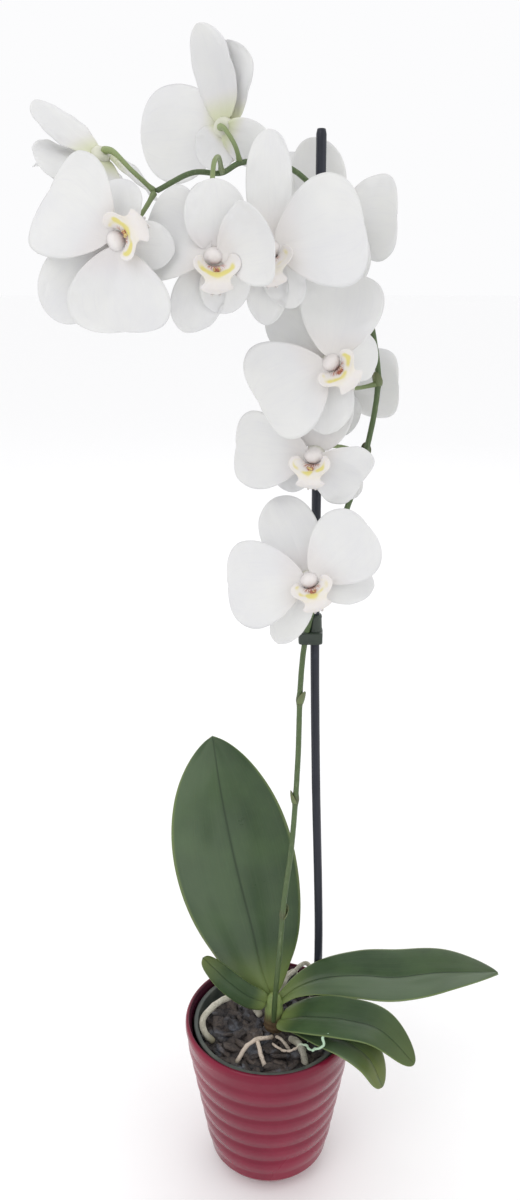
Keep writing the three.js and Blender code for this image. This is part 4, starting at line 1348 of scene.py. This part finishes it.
def buildLeaf(number, leaf):
    rib = Path(leaf["rib"])
    fold = math.radians(leaf["fold"])
    face = -1 if leaf.get("turnedOver") else 1  # which side of the blade is its upper side
    tipAcross = Vector(leaf.get("acrossTip", leaf["across"]))

    def surface(u, v):  # s runs along the rib and t across the blade
        s = min(1 - (1 - u) ** 1.4, lastShare)  # rows stand closer near the tip
        t = 2 * v - 1
        along = rib.direction(s)
        across = Vector(leaf["across"]).lerp(tipAcross, s)
        across = (across - along * across.dot(along)).normalized()
        upper = along.cross(across)
        half = leaf["half"] * outline(s, leaf["swell"], leaf["point"]) + leafMake["foot"] * (1 - s) ** 3
        soft = math.sqrt(t * t + 0.0036) - 0.06
        lift = half * soft * math.sin(fold)
        lift -= face * leafMake["crease"] * hump(t * half, 0, leafMake["creaseWidth"]) * (1 - s) ** 0.3
        wave = leaf["wave"] * noise.noise(Vector((s * 5, t * 1.3, number * 4.7))) * min(1, half / 12)
        return rib.at(s) + across * half * t * math.cos(fold) + upper * (lift + wave)

    def thickness(u, v):  # thickest at the rib and rounded at the rim
        t = 2 * v - 1
        return leafMake["thickness"] * (1 - 0.35 * t ** 2) * math.sqrt(max(0.04, 1 - t ** 8))

    places, faces, values = slab(surface, thickness, leafMake["rows"], leafMake["columns"])
    if face < 0:
        values["upperSide"].reverse()
    lean = leaf.get("paleSide", 0)
    pale = [leaf["pale"] * clamp(0.5 + 6 * lean * t) for t in values["across"]]
    shape = Shape()
    shape.add(places, faces, **values, ripe=leaf["ripe"], pale=pale)
    dress(shape.piece(leaf["name"] + "_fine", finishes["leaf"]), "leaf", leaf["name"])


buildCrown()
for number, leaf in enumerate(leafList):
    buildLeaf(number, leaf)
print("crown and leaves made:", len(leafList))


# Lean tips a whole petal forwards, bend curls it along and cup across, and rise lifts its foot.
petalShape = {"length": 51, "half": 30.5, "swell": 0.8, "point": 0.42, "bend": -14, "cup": 10, "wave": 1.6,
              "lean": 4, "rise": 2.2, "crease": 0.4}
sepalShape = {"length": 49, "half": 16.5, "swell": 0.66, "point": 0.62, "bend": -12, "cup": 4, "wave": 0.5,
              "lean": -5, "rise": 0, "crease": 0.4}
dorsalShape = {"length": 49, "half": 17.5, "swell": 0.62, "point": 0.52, "bend": -10, "cup": 4, "wave": 0.6,
               "lean": -4, "rise": 0, "crease": 0.4}
tepals = {
    "dorsal": dorsalShape | {"turn": 90},
    "leftPetal": petalShape | {"turn": 166},
    "rightPetal": petalShape | {"turn": 14},
    "leftSepal": sepalShape | {"turn": 232},
    "rightSepal": sepalShape | {"turn": 308},
}
layers = {  # how far each one stands in front of the others
    "dorsal": -0.6, "leftPetal": 0.5, "rightPetal": 1.2, "leftSepal": -1.6, "rightSepal": 0.6,
}
bloomMake = {
    "foot": 3.0,  # from the bloom's centre to a petal's foot, and half the foot's width
    "thickness": 0.9,
    "edge": 0.45,
    "rows": 44,
    "columns": 26,
    "columnArch": -1.2,  # how far the column's end rises, or sinks where it is below 0
    "columnWidth": 1.2,  # its breadth against its height
    "columnRings": 40,
    "columnSides": 30,
}
columnProfile = [(0, -5), (4.4, -4.2), (5.7, -2.5), (6.0, -0.8), (5.6, 1.2), (5.0, 3.0), (4.4, 4.8),
                 (3.7, 6.2), (2.8, 7.2), (1.6, 7.8), (0, 8.0)]


def tepalSurface(shape, size, phase):
    length, half = shape["length"] * size, shape["half"] * size
    bend = math.radians(2 * shape["bend"]) + 1e-6
    cup = math.radians(2 * shape["cup"])
    lean = Matrix.Rotation(-math.radians(shape["lean"]), 3, "Y")
    turn = Matrix.Rotation(math.radians(shape["turn"]), 3, "Z")
    foot = bloomMake["foot"] * size

    def surface(u, v):  # s runs along the petal and t across it
        s = min(1 - (1 - u) ** 1.8, lastShare)
        t = 2 * v - 1
        wide = half * outline(s, shape["swell"], shape["point"]) + foot * (1 - s) ** 3
        angle = bend * s
        ruffle = math.sin(9 * s + phase + (1.9 if t > 0 else 0)) * abs(t) ** 2.5
        finer = noise.noise(Vector((s * 6, t * 3, phase))) * abs(t) ** 1.5
        grown = min(1, 1.2 * wide / half)
        lift = wide * (1 - math.cos(cup * t)) / cup + (shape["wave"] * ruffle + 1.3 * finer) * size * grown
        lift -= shape["crease"] * hump(t * wide, 0, 1.6) * (1 - s) * min(1, s * 5)
        out = length * math.sin(angle) / bend - math.sin(angle) * lift + foot
        high = length * (1 - math.cos(angle)) / bend + math.cos(angle) * lift
        place = lean @ Vector((out, wide * math.sin(cup * t) / cup, high))
        place.z += shape["rise"] * size
        return turn @ place

    return surface


def petalThickness(u, v):
    rest = bloomMake["edge"] + (1 - bloomMake["edge"]) * (1 - abs(2 * v - 1) ** 3)
    return bloomMake["thickness"] * rest * (1 - 0.4 * u ** 6)


def columnShape(size):  # the column in the middle of a bloom
    smooth = Path([(r * size, 0, z * size) for r, z in columnProfile], 120)
    along = [smooth.at(k / bloomMake["columnRings"]) for k in range(bloomMake["columnRings"] + 1)]

    def wobble(angle, height):  # a hollow under the cap, on the side of the lip
        under = max(0.0, -math.sin(angle)) ** 2
        return -1.0 * size * under * hump(height / size, 9.0, 1.6)

    places, faces = turned([(place.x, place.z) for place in along], bloomMake["columnSides"], wobble)
    for place in places:
        place.y += bloomMake["columnArch"] * size * max(0.0, place.z / size / 13) ** 1.5
        place.x *= bloomMake["columnWidth"]
    return places, faces


def buildBloom(number, bloom):
    size = bloom["size"]
    seat = bloomFrame(bloom)
    shape = Shape()
    for order, (name, plain) in enumerate(tepals.items()):
        tepal = plain | bloom.get(name, {})
        tepal["rise"] += layers[name]
        surface = tepalSurface(tepal, size, 1.3 * number + 1.7 * order)
        places, faces, values = slab(surface, petalThickness, bloomMake["rows"], bloomMake["columns"])
        tint = bloom.get("tint", 0.06) + 0.02 * order
        shape.add([seat @ place for place in places], faces, **values, heart=0.0, tint=tint)
    places, faces = columnShape(size)
    front = [clamp(place.z / size / 3) for place in places]
    shape.add([seat @ place for place in places], faces, heart=front, along=0.1, tint=1.0)
    dress(shape.piece(f"bloom_{number + 1}_petals", finishes["petal"]), "petal", f"bloom_{number + 1}")


lipMake = {
    "foot": (-5.8, 1.5),  # below and in front of the bloom's centre
    "line": [(0, 0), (-1, 4.5), (-3.2, 8.5), (-7, 11), (-11.5, 10), (-14.5, 6.5)],
    "neck": 3.4,
    "sideLobes": 12.5,
    "middleLobe": 6,
    "thickness": 1.1,
    "rows": 54,
    "columns": 30,
    "callusShare": 0.36,
    "callusRadius": 1.15,
    "tendrilRadius": 0.5,
}


def lipSurface(line, size, number):
    def surface(u, v):
        t = 2 * v - 1
        sideLobe, rising, middleLobe = hump(u, 0.32, 0.22), hump(u, 0.2, 0.15), hump(u, 0.8, 0.17)
        half = lipMake["neck"] + lipMake["sideLobes"] * sideLobe + lipMake["middleLobe"] * middleLobe
        half = size * half * (1 - 0.7 * max(0.0, (u - 0.84) / 0.16) ** 2)
        curl = math.radians(20 + 62 * rising + 10 * sideLobe - 30 * middleLobe)
        ahead = line.direction(u)
        inner = Vector((0, -ahead.z, ahead.y))
        side = half * math.sin(curl * t) / curl
        lift = half * (1 - math.cos(curl * t)) / curl
        frill = 0.35 * size * math.sin(14 * u + 5 * t + number) * abs(t) ** 2
        place = line.at(u) - inner * (lift + frill)
        place.x += side
        return place

    return surface


def lipThickness(u, v):
    return lipMake["thickness"] * (1 - 0.5 * abs(2 * v - 1) ** 3)


def callusHorns(line, size):  # the two horns between the side lobes
    root = line.at(lipMake["callusShare"])
    ahead = line.direction(lipMake["callusShare"])
    inner = Vector((0, -ahead.z, ahead.y))
    steps = [(0.6, 0.0), (1.0, 1.4), (1.9, 2.6)]
    for side in (-1, 1):
        path = Path([root + Vector((side * x * size, 0, 0)) - inner * y * size for x, y in steps], 40)
        yield blob(path, lipMake["callusRadius"] * size)


def tendrils(line, size):  # the two thin ones at the end of the middle lobe
    tip = line.at(0.985)
    steps = [(0.9, 0.3, 0.0), (2.2, -1.0, -0.8), (3.0, -0.4, -2.2), (2.2, 0.6, -2.8)]
    for side in (-1, 1):
        path = Path([tip + Vector((side * x, y, z)) * size for x, y, z in steps], 40)
        yield blob(path, lipMake["tendrilRadius"] * size)


def buildLip(number, bloom):
    size = bloom["size"] * bloom.get("lipSize", 1.0)
    foot = lipMake["foot"]
    line = Path([(0, foot[0] + y * size, foot[1] + z * size) for y, z in lipMake["line"]])
    seat = bloomFrame(bloom)
    shape = Shape()
    surface = lipSurface(line, size, number)
    places, faces, values = slab(surface, lipThickness, lipMake["rows"], lipMake["columns"])
    shape.add([seat @ place for place in places], faces, **values, callus=0.0)
    for places, faces in callusHorns(line, size):
        shape.add([seat @ place for place in places], faces, callus=1.0, along=lipMake["callusShare"])
    for places, faces in tendrils(line, size):
        shape.add([seat @ place for place in places], faces, callus=0.0, along=0.95)
    dress(shape.piece(f"lip_{number + 1}_fine", finishes["lip"]), "lip", f"lip_{number + 1}")


def blob(path, radius, rows=10, sides=10):  # a short round-ended rod as plain faces
    places = [path.at(0)]
    for i in range(1, rows):
        share = i / rows
        ahead = path.direction(share)
        aside = ahead.orthogonal().normalized()
        other = ahead.cross(aside)
        reach = radius * math.sin(math.pi * share) ** 0.5
        for k in range(sides):
            angle = 2 * math.pi * k / sides
            places.append(path.at(share) + (aside * math.cos(angle) + other * math.sin(angle)) * reach)
    places.append(path.at(1))
    return places, polarFaces(rows - 1, sides)


for number, bloom in enumerate(bloomList):
    buildBloom(number, bloom)
    buildLip(number, bloom)
print("blooms made:", len(bloomList))
